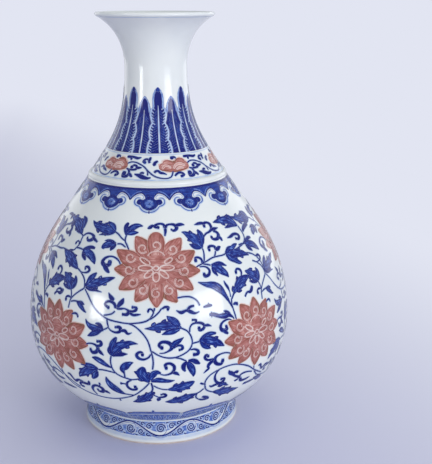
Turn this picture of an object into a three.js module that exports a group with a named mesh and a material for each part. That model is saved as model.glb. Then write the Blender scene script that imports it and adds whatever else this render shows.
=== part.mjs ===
// Pear-shaped porcelain vase with a flared mouth, thrown in sections and luted together.
// Millimetres, +Z up, origin at the centre of the foot's resting face.
import * as THREE from 'three';

// Overall size
const HEIGHT = 298.5;

// Foot ring
const FOOT_RADIUS = 57.9;
const FOOT_TOP_RADIUS = 55.2;
const FOOT_BORE_RADIUS = 48.5;
const FOOT_HEIGHT = 17.5;
const FOOT_BEVEL = 1.4;

// Body
const BELLY_RADIUS = 95.2;
const BELLY_HEIGHT = 82;
const BELLY_WALL = 4.4;
const FLOOR_THICKNESS = 6.5;
const FLOOR_FLAT_RADIUS = 34;
const FLOOR_RISE = 14;

// Neck
const COLLAR_RADIUS = 49.2;
const COLLAR_HEIGHT = 186;
const WAIST_RADIUS = 21.9;
const WAIST_HEIGHT = 262;
const WAIST_WALL = 3.2;

// Mouth
const LIP_RADIUS = 41.5;
const LIP_THICKNESS = 2.8;

// Raised fillet round the foot of the neck
const FILLET_HEIGHT = 3.0;
const FILLET_PROUD = 1.1;

// Rolls of luting slip wiped over the joints inside
const SLIP_WIDTH = 9;
const SLIP_PROUD = 0.9;
const SLIP_FOOT_LEG = 4;

// Lean of the outer wall from upright, in degrees, outwards positive
const FOOT_LEAN = 54.6;
const COLLAR_LEAN = -34;
const LIP_LEAN = 60;

// How far each end of a curve pulls along its lean, as a share of the section's height
const LOWER_PULL = [0.25, 0.59];
const UPPER_PULL = [0.47, 0.35];
const NECK_PULL = [0.42, 0.5];
const MOUTH_PULL = [0.46, 0.42];

// Facets
const SEGMENTS = 60;
const BISECTIONS = 40;

// The lip is a half round on the end of the flare
const lipDirection = leaning(LIP_LEAN);
const lipNormal = new THREE.Vector2(lipDirection.y, -lipDirection.x);
const lipCentre = new THREE.Vector2(LIP_RADIUS - LIP_THICKNESS / 2, HEIGHT - LIP_THICKNESS / 2);
const lipStart = lipCentre.clone().addScaledVector(lipNormal, LIP_THICKNESS / 2);

// Stations that the outer wall passes through, as radius and height
const footTop = new THREE.Vector2(FOOT_TOP_RADIUS, FOOT_HEIGHT);
const belly = new THREE.Vector2(BELLY_RADIUS, BELLY_HEIGHT);
const collar = new THREE.Vector2(COLLAR_RADIUS, COLLAR_HEIGHT);
const waist = new THREE.Vector2(WAIST_RADIUS, WAIST_HEIGHT);

// Outer wall of each thrown section
const lowerCurve = sweep(footTop, FOOT_LEAN, belly, 0, LOWER_PULL);
const upperCurve = sweep(belly, 0, collar, COLLAR_LEAN, UPPER_PULL);
const neckCurve = sweep(collar, COLLAR_LEAN, waist, 0, NECK_PULL);
const mouthCurve = sweep(waist, 0, lipStart, LIP_LEAN, MOUTH_PULL);

const porcelain = { color: 0xdde4e3, roughness: 0.18, metalness: 0 };
const biscuit = { color: 0xcfc6b4, roughness: 0.75, metalness: 0 };

// Unit direction that leans by an angle from upright
function leaning(degrees) {
  const angle = THREE.MathUtils.degToRad(degrees);
  return new THREE.Vector2(Math.sin(angle), Math.cos(angle));
}

// Cubic curve from one station to the next, tangent to the lean at each end
function sweep(from, leanFrom, to, leanTo, pull) {
  const rise = to.y - from.y;
  const handleFrom = from.clone().addScaledVector(leaning(leanFrom), rise * pull[0]);
  const handleTo = to.clone().addScaledVector(leaning(leanTo), -rise * pull[1]);
  return new THREE.CubicBezierCurve(from, handleFrom, handleTo, to);
}

// Curve parameter at a height, found by halving, because height only grows along a section
function parameterAt(curve, height) {
  let low = 0;
  let high = 1;
  for (let i = 0; i < BISECTIONS; i += 1) {
    const middle = (low + high) / 2;
    if (curve.getPoint(middle).y < height) {
      low = middle;
    } else {
      high = middle;
    }
  }
  return (low + high) / 2;
}

// Direction of the curve at a parameter, as the derivative of its cubic
function directionAt(curve, t) {
  const direction = new THREE.Vector2();
  direction.addScaledVector(curve.v1.clone().sub(curve.v0), (1 - t) * (1 - t));
  direction.addScaledVector(curve.v2.clone().sub(curve.v1), 2 * (1 - t) * t);
  direction.addScaledVector(curve.v3.clone().sub(curve.v2), t * t);
  return direction.normalize();
}

// Point on the outer wall at a height; the ends are the stations themselves
function outerPoint(curve, height) {
  if (height <= curve.v0.y) {
    return curve.v0.clone();
  }
  if (height >= curve.v3.y) {
    return curve.v3.clone();
  }
  return new THREE.Vector2(curve.getPoint(parameterAt(curve, height)).x, height);
}

// Wall thickness, which thins evenly from the belly to the waist and on to the lip
function wallAt(height) {
  if (height < BELLY_HEIGHT) {
    return BELLY_WALL;
  }
  if (height < WAIST_HEIGHT) {
    return THREE.MathUtils.mapLinear(height, BELLY_HEIGHT, WAIST_HEIGHT, BELLY_WALL, WAIST_WALL);
  }
  return THREE.MathUtils.mapLinear(height, WAIST_HEIGHT, lipStart.y, WAIST_WALL, LIP_THICKNESS);
}

// Point on the inner wall level with an outer point, so that joint faces stay flat
function innerPoint(curve, height) {
  const outer = outerPoint(curve, height);
  const direction = directionAt(curve, parameterAt(curve, height));
  return new THREE.Vector2(outer.x - wallAt(height) / direction.y, outer.y);
}

// Evenly spaced heights from low to high, both included
function levels(low, high, steps) {
  return Array.from({ length: steps + 1 }, (_, i) => THREE.MathUtils.lerp(low, high, i / steps));
}

// Heights of the inner wall, with a level where each slip roll ends
function innerLevels(low, high, steps) {
  return [low, ...levels(low + SLIP_WIDTH / 2, high - SLIP_WIDTH / 2, steps), high];
}

const outerWall = (curve, heights) => heights.map((height) => outerPoint(curve, height));
const innerWall = (curve, heights) => heights.map((height) => innerPoint(curve, height));

// Solid of revolution from a profile that runs up its outside and down its inside
function turned(name, profile, finish) {
  const geometry = new THREE.LatheGeometry(profile, SEGMENTS);
  const mesh = new THREE.Mesh(geometry, new THREE.MeshStandardMaterial(finish));
  mesh.name = name;
  return mesh;
}

// Ring whose profile closes on itself
function turnedRing(name, profile, finish) {
  return turned(name, [...profile, profile[0].clone()], finish);
}

function footRing() {
  const profile = [
    new THREE.Vector2(FOOT_RADIUS - FOOT_BEVEL, 0),
    new THREE.Vector2(FOOT_RADIUS, FOOT_BEVEL),
    footTop.clone(),
    new THREE.Vector2(FOOT_BORE_RADIUS, FOOT_HEIGHT),
    new THREE.Vector2(FOOT_BORE_RADIUS, FOOT_HEIGHT - SLIP_FOOT_LEG),
    new THREE.Vector2(FOOT_BORE_RADIUS, FOOT_BEVEL),
    new THREE.Vector2(FOOT_BORE_RADIUS + FOOT_BEVEL, 0),
  ];
  return turnedRing('foot_ring', profile, biscuit);
}

// The bowl's floor rounds up into its wall
function floorPoints() {
  const floorTop = FOOT_HEIGHT + FLOOR_THICKNESS;
  const wallFoot = innerPoint(lowerCurve, floorTop + FLOOR_RISE);
  const centre = new THREE.Vector2(0, floorTop);
  const flatEdge = new THREE.Vector2(FLOOR_FLAT_RADIUS, floorTop);
  const direction = directionAt(lowerCurve, parameterAt(lowerCurve, wallFoot.y));
  const corner = new THREE.Vector2(wallFoot.x - (FLOOR_RISE * direction.x) / direction.y, floorTop);
  const rounding = new THREE.QuadraticBezierCurve(wallFoot, corner, flatEdge);
  return [...rounding.getPoints(4), centre];
}

function lowerBelly() {
  const wallBottom = FOOT_HEIGHT + FLOOR_THICKNESS + FLOOR_RISE;
  const top = BELLY_HEIGHT - SLIP_WIDTH / 2;
  const innerHeights = [BELLY_HEIGHT, ...levels(top, wallBottom, 5).slice(0, -1)];
  const profile = [
    new THREE.Vector2(0, FOOT_HEIGHT),
    new THREE.Vector2(FOOT_BORE_RADIUS, FOOT_HEIGHT),
    ...outerWall(lowerCurve, levels(FOOT_HEIGHT, BELLY_HEIGHT, 9)),
    ...innerWall(lowerCurve, innerHeights),
    ...floorPoints(),
  ];
  return turned('lower_belly', profile, porcelain);
}

function upperBelly() {
  const profile = [
    ...outerWall(upperCurve, levels(BELLY_HEIGHT, COLLAR_HEIGHT, 9)),
    ...innerWall(upperCurve, innerLevels(BELLY_HEIGHT, COLLAR_HEIGHT, 7).reverse()),
  ];
  return turnedRing('upper_belly', profile, porcelain);
}

function neck() {
  const filletTop = COLLAR_HEIGHT + FILLET_HEIGHT;
  const profile = [
    outerPoint(neckCurve, COLLAR_HEIGHT),
    ...outerWall(neckCurve, levels(filletTop, WAIST_HEIGHT, 8)),
    ...innerWall(neckCurve, innerLevels(COLLAR_HEIGHT, WAIST_HEIGHT, 7).reverse()),
  ];
  return turnedRing('neck', profile, porcelain);
}

// Half round from the outside of the flare over to its inside
function lipPoints(steps) {
  return levels(0, Math.PI, steps).map((angle) => lipCentre.clone()
    .addScaledVector(lipNormal, (LIP_THICKNESS / 2) * Math.cos(angle))
    .addScaledVector(lipDirection, (LIP_THICKNESS / 2) * Math.sin(angle)));
}

function flaredMouth() {
  const innerHeights = [WAIST_HEIGHT, ...levels(WAIST_HEIGHT + SLIP_WIDTH / 2, lipStart.y, 6)];
  const profile = [
    ...outerWall(mouthCurve, levels(WAIST_HEIGHT, lipStart.y, 8).slice(0, -1)),
    ...lipPoints(6),
    ...innerWall(mouthCurve, innerHeights.reverse()),
  ];
  return turnedRing('flared_mouth', profile, porcelain);
}

// Half-round ring that stands proud of the neck just above the collar joint
function raisedFillet() {
  const low = outerPoint(neckCurve, COLLAR_HEIGHT);
  const high = outerPoint(neckCurve, COLLAR_HEIGHT + FILLET_HEIGHT);
  const along = high.clone().sub(low);
  const outwards = new THREE.Vector2(along.y, -along.x).normalize();
  const crest = levels(0, Math.PI, 6).slice(1, -1).map((angle) => low.clone()
    .addScaledVector(along, (1 - Math.cos(angle)) / 2)
    .addScaledVector(outwards, FILLET_PROUD * Math.sin(angle)));
  return turnedRing('raised_fillet', [low, ...crest, high], porcelain);
}

// Low roll of slip over a joint inside; its back lies on the inner wall
function slipRoll(name, lowCurve, highCurve, joint) {
  const low = innerPoint(lowCurve, joint - SLIP_WIDTH / 2);
  const middle = innerPoint(highCurve, joint);
  const high = innerPoint(highCurve, joint + SLIP_WIDTH / 2);
  const crest = middle.clone().setX(middle.x - SLIP_PROUD);
  const shoulderLow = low.clone().lerp(middle, 0.5).sub(new THREE.Vector2(SLIP_PROUD * 0.8, 0));
  const shoulderHigh = high.clone().lerp(middle, 0.5).sub(new THREE.Vector2(SLIP_PROUD * 0.8, 0));
  return turnedRing(name, [low, middle, high, shoulderHigh, crest, shoulderLow], porcelain);
}

// Hollow fillet of slip in the corner between the foot ring and the base
function footSlip() {
  const corner = new THREE.Vector2(FOOT_BORE_RADIUS, FOOT_HEIGHT);
  const hollow = levels(0, Math.PI / 2, 4).map((angle) => new THREE.Vector2(
    FOOT_BORE_RADIUS - SLIP_FOOT_LEG * (1 - Math.cos(angle)),
    FOOT_HEIGHT - SLIP_FOOT_LEG * (1 - Math.sin(angle)),
  ));
  return turnedRing('slip_fillet_foot', [corner, ...hollow.reverse()], porcelain);
}

const vase = new THREE.Group();
vase.add(
  footRing(),
  lowerBelly(),
  upperBelly(),
  neck(),
  flaredMouth(),
  raisedFillet(),
  footSlip(),
  slipRoll('slip_roll_belly', lowerCurve, upperCurve, BELLY_HEIGHT),
  slipRoll('slip_roll_collar', upperCurve, neckCurve, COLLAR_HEIGHT),
  slipRoll('slip_roll_waist', neckCurve, mouthCurve, WAIST_HEIGHT),
);

// The profiles are turned about Y, and the vase stands along Z
vase.rotation.x = Math.PI / 2;

export default vase;
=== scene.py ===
"""Pear-shaped porcelain vase painted in underglaze blue and red, dressed for the render. Metres."""
import bpy
import bisect
import math
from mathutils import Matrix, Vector


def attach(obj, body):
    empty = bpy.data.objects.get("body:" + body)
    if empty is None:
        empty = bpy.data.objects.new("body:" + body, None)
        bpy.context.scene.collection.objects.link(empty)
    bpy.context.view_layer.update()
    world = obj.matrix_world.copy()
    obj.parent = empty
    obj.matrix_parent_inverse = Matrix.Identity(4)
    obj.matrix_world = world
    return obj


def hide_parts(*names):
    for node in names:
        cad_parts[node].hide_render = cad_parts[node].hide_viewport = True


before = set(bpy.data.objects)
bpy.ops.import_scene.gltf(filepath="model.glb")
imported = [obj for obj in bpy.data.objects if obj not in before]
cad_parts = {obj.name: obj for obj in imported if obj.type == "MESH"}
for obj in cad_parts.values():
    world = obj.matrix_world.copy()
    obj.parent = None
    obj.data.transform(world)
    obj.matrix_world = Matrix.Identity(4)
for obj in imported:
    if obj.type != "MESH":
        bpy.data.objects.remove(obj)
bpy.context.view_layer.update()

MM = 0.001

# Sizes in millimetres; a pair is the radius and height of a station of the outer wall
FOOT_BORE_RADIUS = 48.5
FOOT_BEVEL = 1.4
FOOT_RADIUS = 57.9
FOOT_TOP = (55.2, 17.5)
BELLY = (95.2, 82.0)
COLLAR = (49.2, 186.0)
WAIST = (21.9, 262.0)
LIP_RADIUS = 41.5
LIP_THICKNESS = 2.8
HEIGHT = 298.5
BELLY_WALL = 4.4
WAIST_WALL = 3.2
FLOOR_THICKNESS = 6.5
FLOOR_FLAT_RADIUS = 34.0
FLOOR_RISE = 14.0
FILLET_HEIGHT = 3.0
FILLET_PROUD = 1.1
SLIP_WIDTH = 9.0
SLIP_PROUD = 0.9
SLIP_FOOT_LEG = 4.0

# Lean of the wall from upright in degrees, and how far each end of a curve pulls
FOOT_LEAN = 54.6
COLLAR_LEAN = -34.0
LIP_LEAN = 60.0
LOWER_PULL = (0.25, 0.59)
UPPER_PULL = (0.47, 0.35)
NECK_PULL = (0.42, 0.5)
MOUTH_PULL = (0.46, 0.42)

# Steps round the vase, up each curve and along the small round stretches
SEGMENTS = 288
LOWER_STEPS = 48
UPPER_STEPS = 64
NECK_STEPS = 48
MOUTH_STEPS = 36
SKIN_STEPS = 260
BOWL_STEPS = 12
LIP_STEPS = 16
BEAD_STEPS = 12
SLIP_STEPS = 8


def leaning(degrees):
    angle = math.radians(degrees)
    return math.sin(angle), math.cos(angle)


LIP_DIRECTION = leaning(LIP_LEAN)
LIP_NORMAL = (LIP_DIRECTION[1], -LIP_DIRECTION[0])
LIP_CENTRE = (LIP_RADIUS - LIP_THICKNESS / 2, HEIGHT - LIP_THICKNESS / 2)
LIP_START = (
    LIP_CENTRE[0] + LIP_NORMAL[0] * LIP_THICKNESS / 2,
    LIP_CENTRE[1] + LIP_NORMAL[1] * LIP_THICKNESS / 2,
)


def sweep(start, lean_start, end, lean_end, pull):
    """Cubic curve between two stations, tangent to the lean at each end."""
    rise = end[1] - start[1]
    a = leaning(lean_start)
    b = leaning(lean_end)
    handle_a = (start[0] + a[0] * rise * pull[0], start[1] + a[1] * rise * pull[0])
    handle_b = (end[0] - b[0] * rise * pull[1], end[1] - b[1] * rise * pull[1])
    return start, handle_a, handle_b, end


LOWER = sweep(FOOT_TOP, FOOT_LEAN, BELLY, 0.0, LOWER_PULL)
UPPER = sweep(BELLY, 0.0, COLLAR, COLLAR_LEAN, UPPER_PULL)
NECK = sweep(COLLAR, COLLAR_LEAN, WAIST, 0.0, NECK_PULL)
MOUTH = sweep(WAIST, 0.0, LIP_START, LIP_LEAN, MOUTH_PULL)


def cubic(curve, t, axis):
    a, b, c, d = (p[axis] for p in curve)
    s = 1 - t
    return s * s * s * a + 3 * s * s * t * b + 3 * s * t * t * c + t * t * t * d


def slope(curve, t, axis):
    a, b, c, d = (p[axis] for p in curve)
    s = 1 - t
    return s * s * (b - a) + 2 * s * t * (c - b) + t * t * (d - c)


def wall_at(z):
    """Wall thickness, thinning evenly from the belly to the waist and on to the lip."""
    if z < BELLY[1]:
        return BELLY_WALL
    if z < WAIST[1]:
        return BELLY_WALL + (WAIST_WALL - BELLY_WALL) * (z - BELLY[1]) / (WAIST[1] - BELLY[1])
    return WAIST_WALL + (LIP_THICKNESS - WAIST_WALL) * (z - WAIST[1]) / (LIP_START[1] - WAIST[1])


def outer(curve, steps):
    """Points up the outer wall, each radius, height and normal."""
    points = []
    for i in range(steps + 1):
        t = i / steps
        dr, dz = slope(curve, t, 0), slope(curve, t, 1)
        length = math.hypot(dr, dz)
        points.append((cubic(curve, t, 0), cubic(curve, t, 1), dz / length, -dr / length))
    return points


def inner(curve, steps):
    """Points down the inner wall, level with the outer ones."""
    return [(r - wall_at(z) / nr, z, -nr, -nz) for r, z, nr, nz in reversed(outer(curve, steps))]


def skin_table():
    """Outer wall from foot to lip as (climb, radius, height, normal); climb is distance up the wall."""
    table = []
    for curve in (LOWER, UPPER, NECK, MOUTH):
        for point in outer(curve, SKIN_STEPS)[1 if table else 0:]:
            climb = 0.0
            if table:
                last = table[-1]
                climb = last[0] + math.hypot(point[0] - last[1], point[1] - last[2])
            table.append((climb,) + point)
    return table


SKIN = skin_table()
CLIMBS = [row[0] for row in SKIN]
FOOT_SLANT = math.hypot(FOOT_RADIUS - FOOT_TOP[0], FOOT_TOP[1] - FOOT_BEVEL)
FOOT_OUT = (FOOT_RADIUS - FOOT_TOP[0]) / FOOT_SLANT
FOOT_DOWN = (FOOT_TOP[1] - FOOT_BEVEL) / FOOT_SLANT


def skin(climb):
    """Radius, height and normal of the outside; a climb below nought is down the foot ring."""
    if climb < 0:
        return FOOT_TOP[0] - FOOT_OUT * climb, FOOT_TOP[1] + FOOT_DOWN * climb, FOOT_DOWN, FOOT_OUT
    i = min(max(bisect.bisect(CLIMBS, climb) - 1, 0), len(SKIN) - 2)
    a, b = SKIN[i], SKIN[i + 1]
    t = (climb - a[0]) / (b[0] - a[0])
    return tuple(a[k] + (b[k] - a[k]) * t for k in (1, 2, 3, 4))


def degree_at(climb):
    """Length of one degree round the vase, in millimetres."""
    return math.radians(skin(climb)[0])


def add_piece(name, verts, normals, faces, material):
    mesh = bpy.data.meshes.new(name)
    mesh.from_pydata(verts, [], faces)
    mesh.shade_smooth()
    mesh.normals_split_custom_set_from_vertices(normals)
    mesh.materials.append(material)
    piece = bpy.data.objects.new(name, mesh)
    bpy.context.scene.collection.objects.link(piece)
    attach(piece, "root")
    return piece


def revolve(name, runs, material):
    """Closed surface of revolution from smooth runs of (radius, height, normal) points."""
    verts = []
    faces = []
    normals = []
    for run in runs:
        base = len(verts)
        for r, z, nr, nz in run:
            for k in range(SEGMENTS):
                a = 2 * math.pi * k / SEGMENTS
                verts.append((r * MM * math.cos(a), r * MM * math.sin(a), z * MM))
                normals.append((nr * math.cos(a), nr * math.sin(a), nz))
        for i in range(len(run) - 1):
            for k in range(SEGMENTS):
                k2 = (k + 1) % SEGMENTS
                p = base + i * SEGMENTS
                q = p + SEGMENTS
                faces.append((p + k, p + k2, q + k2, q + k))
    return add_piece(name, verts, normals, faces, material)


def glazed(name, node, runs, material):
    """Turned piece that stands in for a node of the frame."""
    piece = revolve(name, runs, material)
    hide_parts(node)


def linear(red, green, blue):
    """Colour as a screen shows it, 0 to 255, turned into light."""
    channels = (c / 255 for c in (red, green, blue))
    return tuple(c / 12.92 if c <= 0.04045 else ((c + 0.055) / 1.055) ** 2.4 for c in channels) + (1.0,)


def node_material(name):
    material = bpy.data.materials.new(name)
    material.use_nodes = True
    tree = material.node_tree
    return material, tree, tree.nodes["Principled BSDF"]


def feed(tree, socket, value):
    """Gives a socket its value: an output is linked and a number is stored."""
    if isinstance(value, bpy.types.NodeSocket):
        tree.links.new(value, socket)
    else:
        socket.default_value = value


def join(tree, kind, **inputs):
    """Node of a kind with its inputs set by name, or by number after an underscore."""
    node = tree.nodes.new(kind)
    for key, value in inputs.items():
        feed(tree, node.inputs[int(key[1:])] if key[0] == "_" else node.inputs[key], value)
    return node


def maths(tree, operation, a, b):
    node = join(tree, "ShaderNodeMath", _0=a, _1=b)
    node.operation = operation
    return node.outputs[0]


def times(tree, a, b):
    return maths(tree, "MULTIPLY", a, b)


def plus(tree, a, b):
    return maths(tree, "ADD", a, b)


def step_of(tree, value, low, high, at_low=0.0, at_high=1.0):
    """Smooth step of a value between two limits."""
    node = join(tree, "ShaderNodeMapRange", _0=value, _1=low, _2=high, _3=at_low, _4=at_high)
    node.interpolation_type = "SMOOTHSTEP"
    return node.outputs[0]


def ramp_of(tree, value, stops):
    node = join(tree, "ShaderNodeValToRGB", Fac=value)
    elements = node.color_ramp.elements
    while len(elements) < len(stops):
        elements.new(0.5)
    for element, (position, colour) in zip(elements, stops):
        element.position = position
        element.color = colour
    return node.outputs["Color"]


def blend_of(tree, share, under, over, kind="MIX"):
    """Colour that goes from one to another by a share."""
    node = join(tree, "ShaderNodeMix", Factor=share)
    node.data_type = "RGBA"
    node.blend_type = kind
    feed(tree, node.inputs[6], under)
    feed(tree, node.inputs[7], over)
    return node.outputs[2]


def own_place(tree):
    """Place of a point on its own object, in metres."""
    return tree.nodes.new("ShaderNodeTexCoord").outputs["Object"]


def noise_of(tree, place, scale, detail):
    return join(tree, "ShaderNodeTexNoise", Vector=place, Scale=scale, Detail=detail).outputs["Fac"]


GLAZE_DEEP = linear(207, 212, 213)
GLAZE_PALE = linear(218, 221, 219)
GLAZE_SHINE = 0.34
GLAZE_ROUGHNESS = 0.12
CLAY_DEEP = linear(200, 181, 160)
CLAY_PALE = linear(222, 213, 202)
CLAY_ROUGHNESS = 0.75
RUST = linear(172, 142, 120)
# Heights in metres at which the bare rim and its rusty line begin to fade and end, and how they waver
BARE_RIM = (0.0006, 0.0010)
RUSTY_LINE = (0.0010, 0.0018)
RIM_WAVER = 0.0008
# Size of the streaks in the paint along and across a stroke, as turns of noise in a millimetre
FLOW_ALONG = 0.16
FLOW_ACROSS = 1.1


def glaze_colour(tree):
    """White body under a clear glaze with a faint green-blue cast, pooled a little unevenly."""
    pooled = noise_of(tree, own_place(tree), 22.0, 4.0)
    return ramp_of(tree, pooled, [(0.3, GLAZE_DEEP), (0.7, GLAZE_PALE)])


def clay_colour(tree):
    """Bare fired porcelain, cream with faint rusty patches."""
    patches = noise_of(tree, own_place(tree), 260.0, 5.0)
    return ramp_of(tree, patches, [(0.35, CLAY_DEEP), (0.65, CLAY_PALE)])


def glaze_over(name, colour_of, roughness_of=None):
    """Material with a colour under the clear glaze; both are made by functions of its tree."""
    material, tree, shader = node_material(name)
    feed(tree, shader.inputs["Base Color"], colour_of(tree))
    feed(tree, shader.inputs["Roughness"], roughness_of(tree) if roughness_of else GLAZE_ROUGHNESS)
    shader.inputs["Specular IOR Level"].default_value = GLAZE_SHINE
    return material


def rim_level(tree):
    """Height of a point over the table, with a little waver."""
    place = own_place(tree)
    height = join(tree, "ShaderNodeSeparateXYZ", Vector=place).outputs["Z"]
    return maths(tree, "SUBTRACT", height, times(tree, noise_of(tree, place, 90.0, 2.0), RIM_WAVER))


def foot_colour(tree):
    """Glaze that ends in a rusty line over a resting rim wiped bare."""
    level = rim_level(tree)
    rusty = blend_of(tree, step_of(tree, level, *RUSTY_LINE, 0.5, 0.0), glaze_colour(tree), RUST)
    return blend_of(tree, step_of(tree, level, *BARE_RIM, 1.0, 0.0), rusty, clay_colour(tree))


def foot_roughness(tree):
    return step_of(tree, rim_level(tree), *BARE_RIM, CLAY_ROUGHNESS, GLAZE_ROUGHNESS)


def stored(tree, name):
    """The three numbers that each point of a ribbon stores under a name."""
    node = tree.nodes.new("ShaderNodeAttribute")
    node.attribute_name = name
    return join(tree, "ShaderNodeSeparateXYZ", Vector=node.outputs["Vector"]).outputs


def wash_depth(tree, uneven_by, fleck_by, gathers_over, pool_scale):
    """How thick the paint lies.

    Attribute place holds the distance along, across and in from the edge, in millimetres.
    Attribute wash holds the tone, the extra tone gathered at the edge and the width of the soft edge.
    """
    along, across, edge = stored(tree, "place")
    tone, gathered, soft = stored(tree, "wash")
    stretched = times(tree, along, FLOW_ALONG), times(tree, across, FLOW_ACROSS)
    flow = join(tree, "ShaderNodeCombineXYZ", _0=stretched[0], _1=stretched[1]).outputs[0]
    streaks = noise_of(tree, flow, 1.0, 2.0)
    pools = noise_of(tree, own_place(tree), pool_scale, 3.0)
    uneven = maths(tree, "SUBTRACT", plus(tree, streaks, pools), 1.0)
    uneven = times(tree, times(tree, uneven, uneven_by), step_of(tree, tone, 0.0, 0.4))
    outline = times(tree, gathered, step_of(tree, edge, 0.25, gathers_over, 1.0, 0.0))
    flecks = times(tree, step_of(tree, noise_of(tree, flow, 1.5, 1.5), 0.48, 0.64), fleck_by)
    inside = times(tree, step_of(tree, edge, 0.5, 1.0), step_of(tree, gathered, 0.1, 0.2))
    outline = maths(tree, "SUBTRACT", outline, times(tree, flecks, inside))
    depth = plus(tree, plus(tree, tone, uneven), outline)
    return times(tree, depth, step_of(tree, maths(tree, "DIVIDE", edge, soft), 0.0, 1.0))


def pigment(name, veils, **flow):
    """Colour painted under the glaze, thin or thick by the tone stored on each ribbon."""
    stops = [(depth, share + (1.0,)) for depth, share in veils]

    def colour(tree):
        veil = ramp_of(tree, wash_depth(tree, **flow), stops)
        return blend_of(tree, 1.0, glaze_colour(tree), veil, "MULTIPLY")

    return glaze_over(name, colour)


# Share of light that pigment lets through from bare glaze to the thickest wash
COBALT_VEILS = [
    (0.0, (1.0, 1.0, 1.0)),
    (0.25, (0.46, 0.6, 0.92)),
    (0.5, (0.12, 0.225, 0.66)),
    (0.72, (0.018, 0.07, 0.43)),
    (1.0, (0.0, 0.006, 0.19)),
]
COPPER_VEILS = [
    (0.0, (1.0, 1.0, 1.0)),
    (0.25, (0.93, 0.55, 0.5)),
    (0.6, (0.56, 0.2, 0.18)),
    (0.88, (0.36, 0.1, 0.08)),
    (1.0, (0.27, 0.12, 0.06)),
]

GLAZE = glaze_over("glazed_porcelain", glaze_colour)
GLAZED_FOOT = glaze_over("glazed_foot", foot_colour, foot_roughness)
COBALT = pigment(
    "cobalt_blue", COBALT_VEILS, uneven_by=0.6, fleck_by=0.4, gathers_over=0.9, pool_scale=210.0,
)
COPPER = pigment(
    "copper_red", COPPER_VEILS, uneven_by=0.85, fleck_by=0.12, gathers_over=1.5, pool_scale=190.0,
)


# Radius at which a level face stops short of the axis
AXIS = 0.01
HALVINGS = 40


def flat(a, b, nz):
    """Level face between two points of a profile."""
    return [(a[0], a[1], 0.0, nz), (b[0], b[1], 0.0, nz)]


def plain_face(a, b):
    """Straight face of a profile, whose outside is on the right of the way from a to b."""
    dr, dz = b[0] - a[0], b[1] - a[1]
    length = math.hypot(dr, dz)
    return [(p[0], p[1], dz / length, -dr / length) for p in (a, b)]


def foot_ring():
    corners = [
        (FOOT_RADIUS - FOOT_BEVEL, 0.0),
        (FOOT_RADIUS, FOOT_BEVEL),
        FOOT_TOP,
        (FOOT_BORE_RADIUS, FOOT_TOP[1]),
        (FOOT_BORE_RADIUS, FOOT_BEVEL),
        (FOOT_BORE_RADIUS + FOOT_BEVEL, 0.0),
    ]
    runs = [plain_face(a, b) for a, b in zip(corners, corners[1:] + corners[:1])]
    glazed("glazed_foot_ring", "foot_ring", runs, GLAZED_FOOT)


def bowl_inside(rim, floor_top):
    """Round stretch inside, from the end of the inner wall down to the flat of the floor."""
    corner = rim[0] - (rim[1] - floor_top) * rim[3] / -rim[2]
    bowl = []
    for i in range(BOWL_STEPS + 1):
        t = i / BOWL_STEPS
        r = (1 - t) ** 2 * rim[0] + 2 * (1 - t) * t * corner + t * t * FLOOR_FLAT_RADIUS
        z = (1 - t) ** 2 * rim[1] + 2 * (1 - t) * t * floor_top + t * t * floor_top
        bowl.append((r, z, rim[2] * (1 - t), 1 - (1 - t) * (1 - rim[3])))
    return bowl


def lower_belly():
    floor_top = FOOT_TOP[1] + FLOOR_THICKNESS
    wall = [p for p in inner(LOWER, LOWER_STEPS) if p[1] >= floor_top + FLOOR_RISE]
    shell = outer(LOWER, LOWER_STEPS)
    runs = [
        flat((AXIS, FOOT_TOP[1]), FOOT_TOP, -1.0),
        shell,
        flat(shell[-1], wall[0], 1.0),
        wall,
        bowl_inside(wall[-1], floor_top),
        flat((FLOOR_FLAT_RADIUS, floor_top), (AXIS, floor_top), 1.0),
    ]
    glazed("glazed_lower_belly", "lower_belly", runs, GLAZE)


def section(name, node, curve, steps):
    shell = outer(curve, steps)
    wall = inner(curve, steps)
    runs = [shell, flat(shell[-1], wall[0], 1.0), wall, flat(wall[-1], shell[0], -1.0)]
    glazed(name, node, runs, GLAZE)


def flared_mouth():
    shell = outer(MOUTH, MOUTH_STEPS)
    wall = inner(MOUTH, MOUTH_STEPS)
    half = LIP_THICKNESS / 2
    lip = []
    for i in range(LIP_STEPS + 1):
        a = math.pi * i / LIP_STEPS
        nr = LIP_NORMAL[0] * math.cos(a) + LIP_DIRECTION[0] * math.sin(a)
        nz = LIP_NORMAL[1] * math.cos(a) + LIP_DIRECTION[1] * math.sin(a)
        lip.append((LIP_CENTRE[0] + nr * half, LIP_CENTRE[1] + nz * half, nr, nz))
    runs = [shell, lip, [lip[-1], wall[0]], wall, flat(wall[-1], shell[0], -1.0)]
    glazed("glazed_flared_mouth", "flared_mouth", runs, GLAZE)


def point_at(curve, height, inside=False):
    """Point on a wall at a height."""
    low, high = 0.0, 1.0
    for _ in range(HALVINGS):
        middle = (low + high) / 2
        if cubic(curve, middle, 1) < height:
            low = middle
        else:
            high = middle
    r = cubic(curve, low, 0)
    if inside:
        dr, dz = slope(curve, low, 0), slope(curve, low, 1)
        r -= wall_at(height) * math.hypot(dr, dz) / dz
    return r, height


def bulged(low, high, proud):
    """Rounded bead from a lower to a higher point, standing proud of the line between them."""
    along = (high[0] - low[0], high[1] - low[1])
    length = math.hypot(*along)
    out = (along[1] / length, -along[0] / length)
    run = []
    for i in range(BEAD_STEPS + 1):
        a = math.pi * i / BEAD_STEPS
        place = (1 - math.cos(a)) / 2
        lift = proud * math.sin(a)
        u, v = length / 2 * math.sin(a), proud * math.cos(a)
        tangent = (along[0] / length * u + out[0] * v, along[1] / length * u + out[1] * v)
        size = math.hypot(*tangent)
        r, z = low[0] + along[0] * place + out[0] * lift, low[1] + along[1] * place + out[1] * lift
        run.append((r, z, tangent[1] / size, -tangent[0] / size))
    return run


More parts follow.
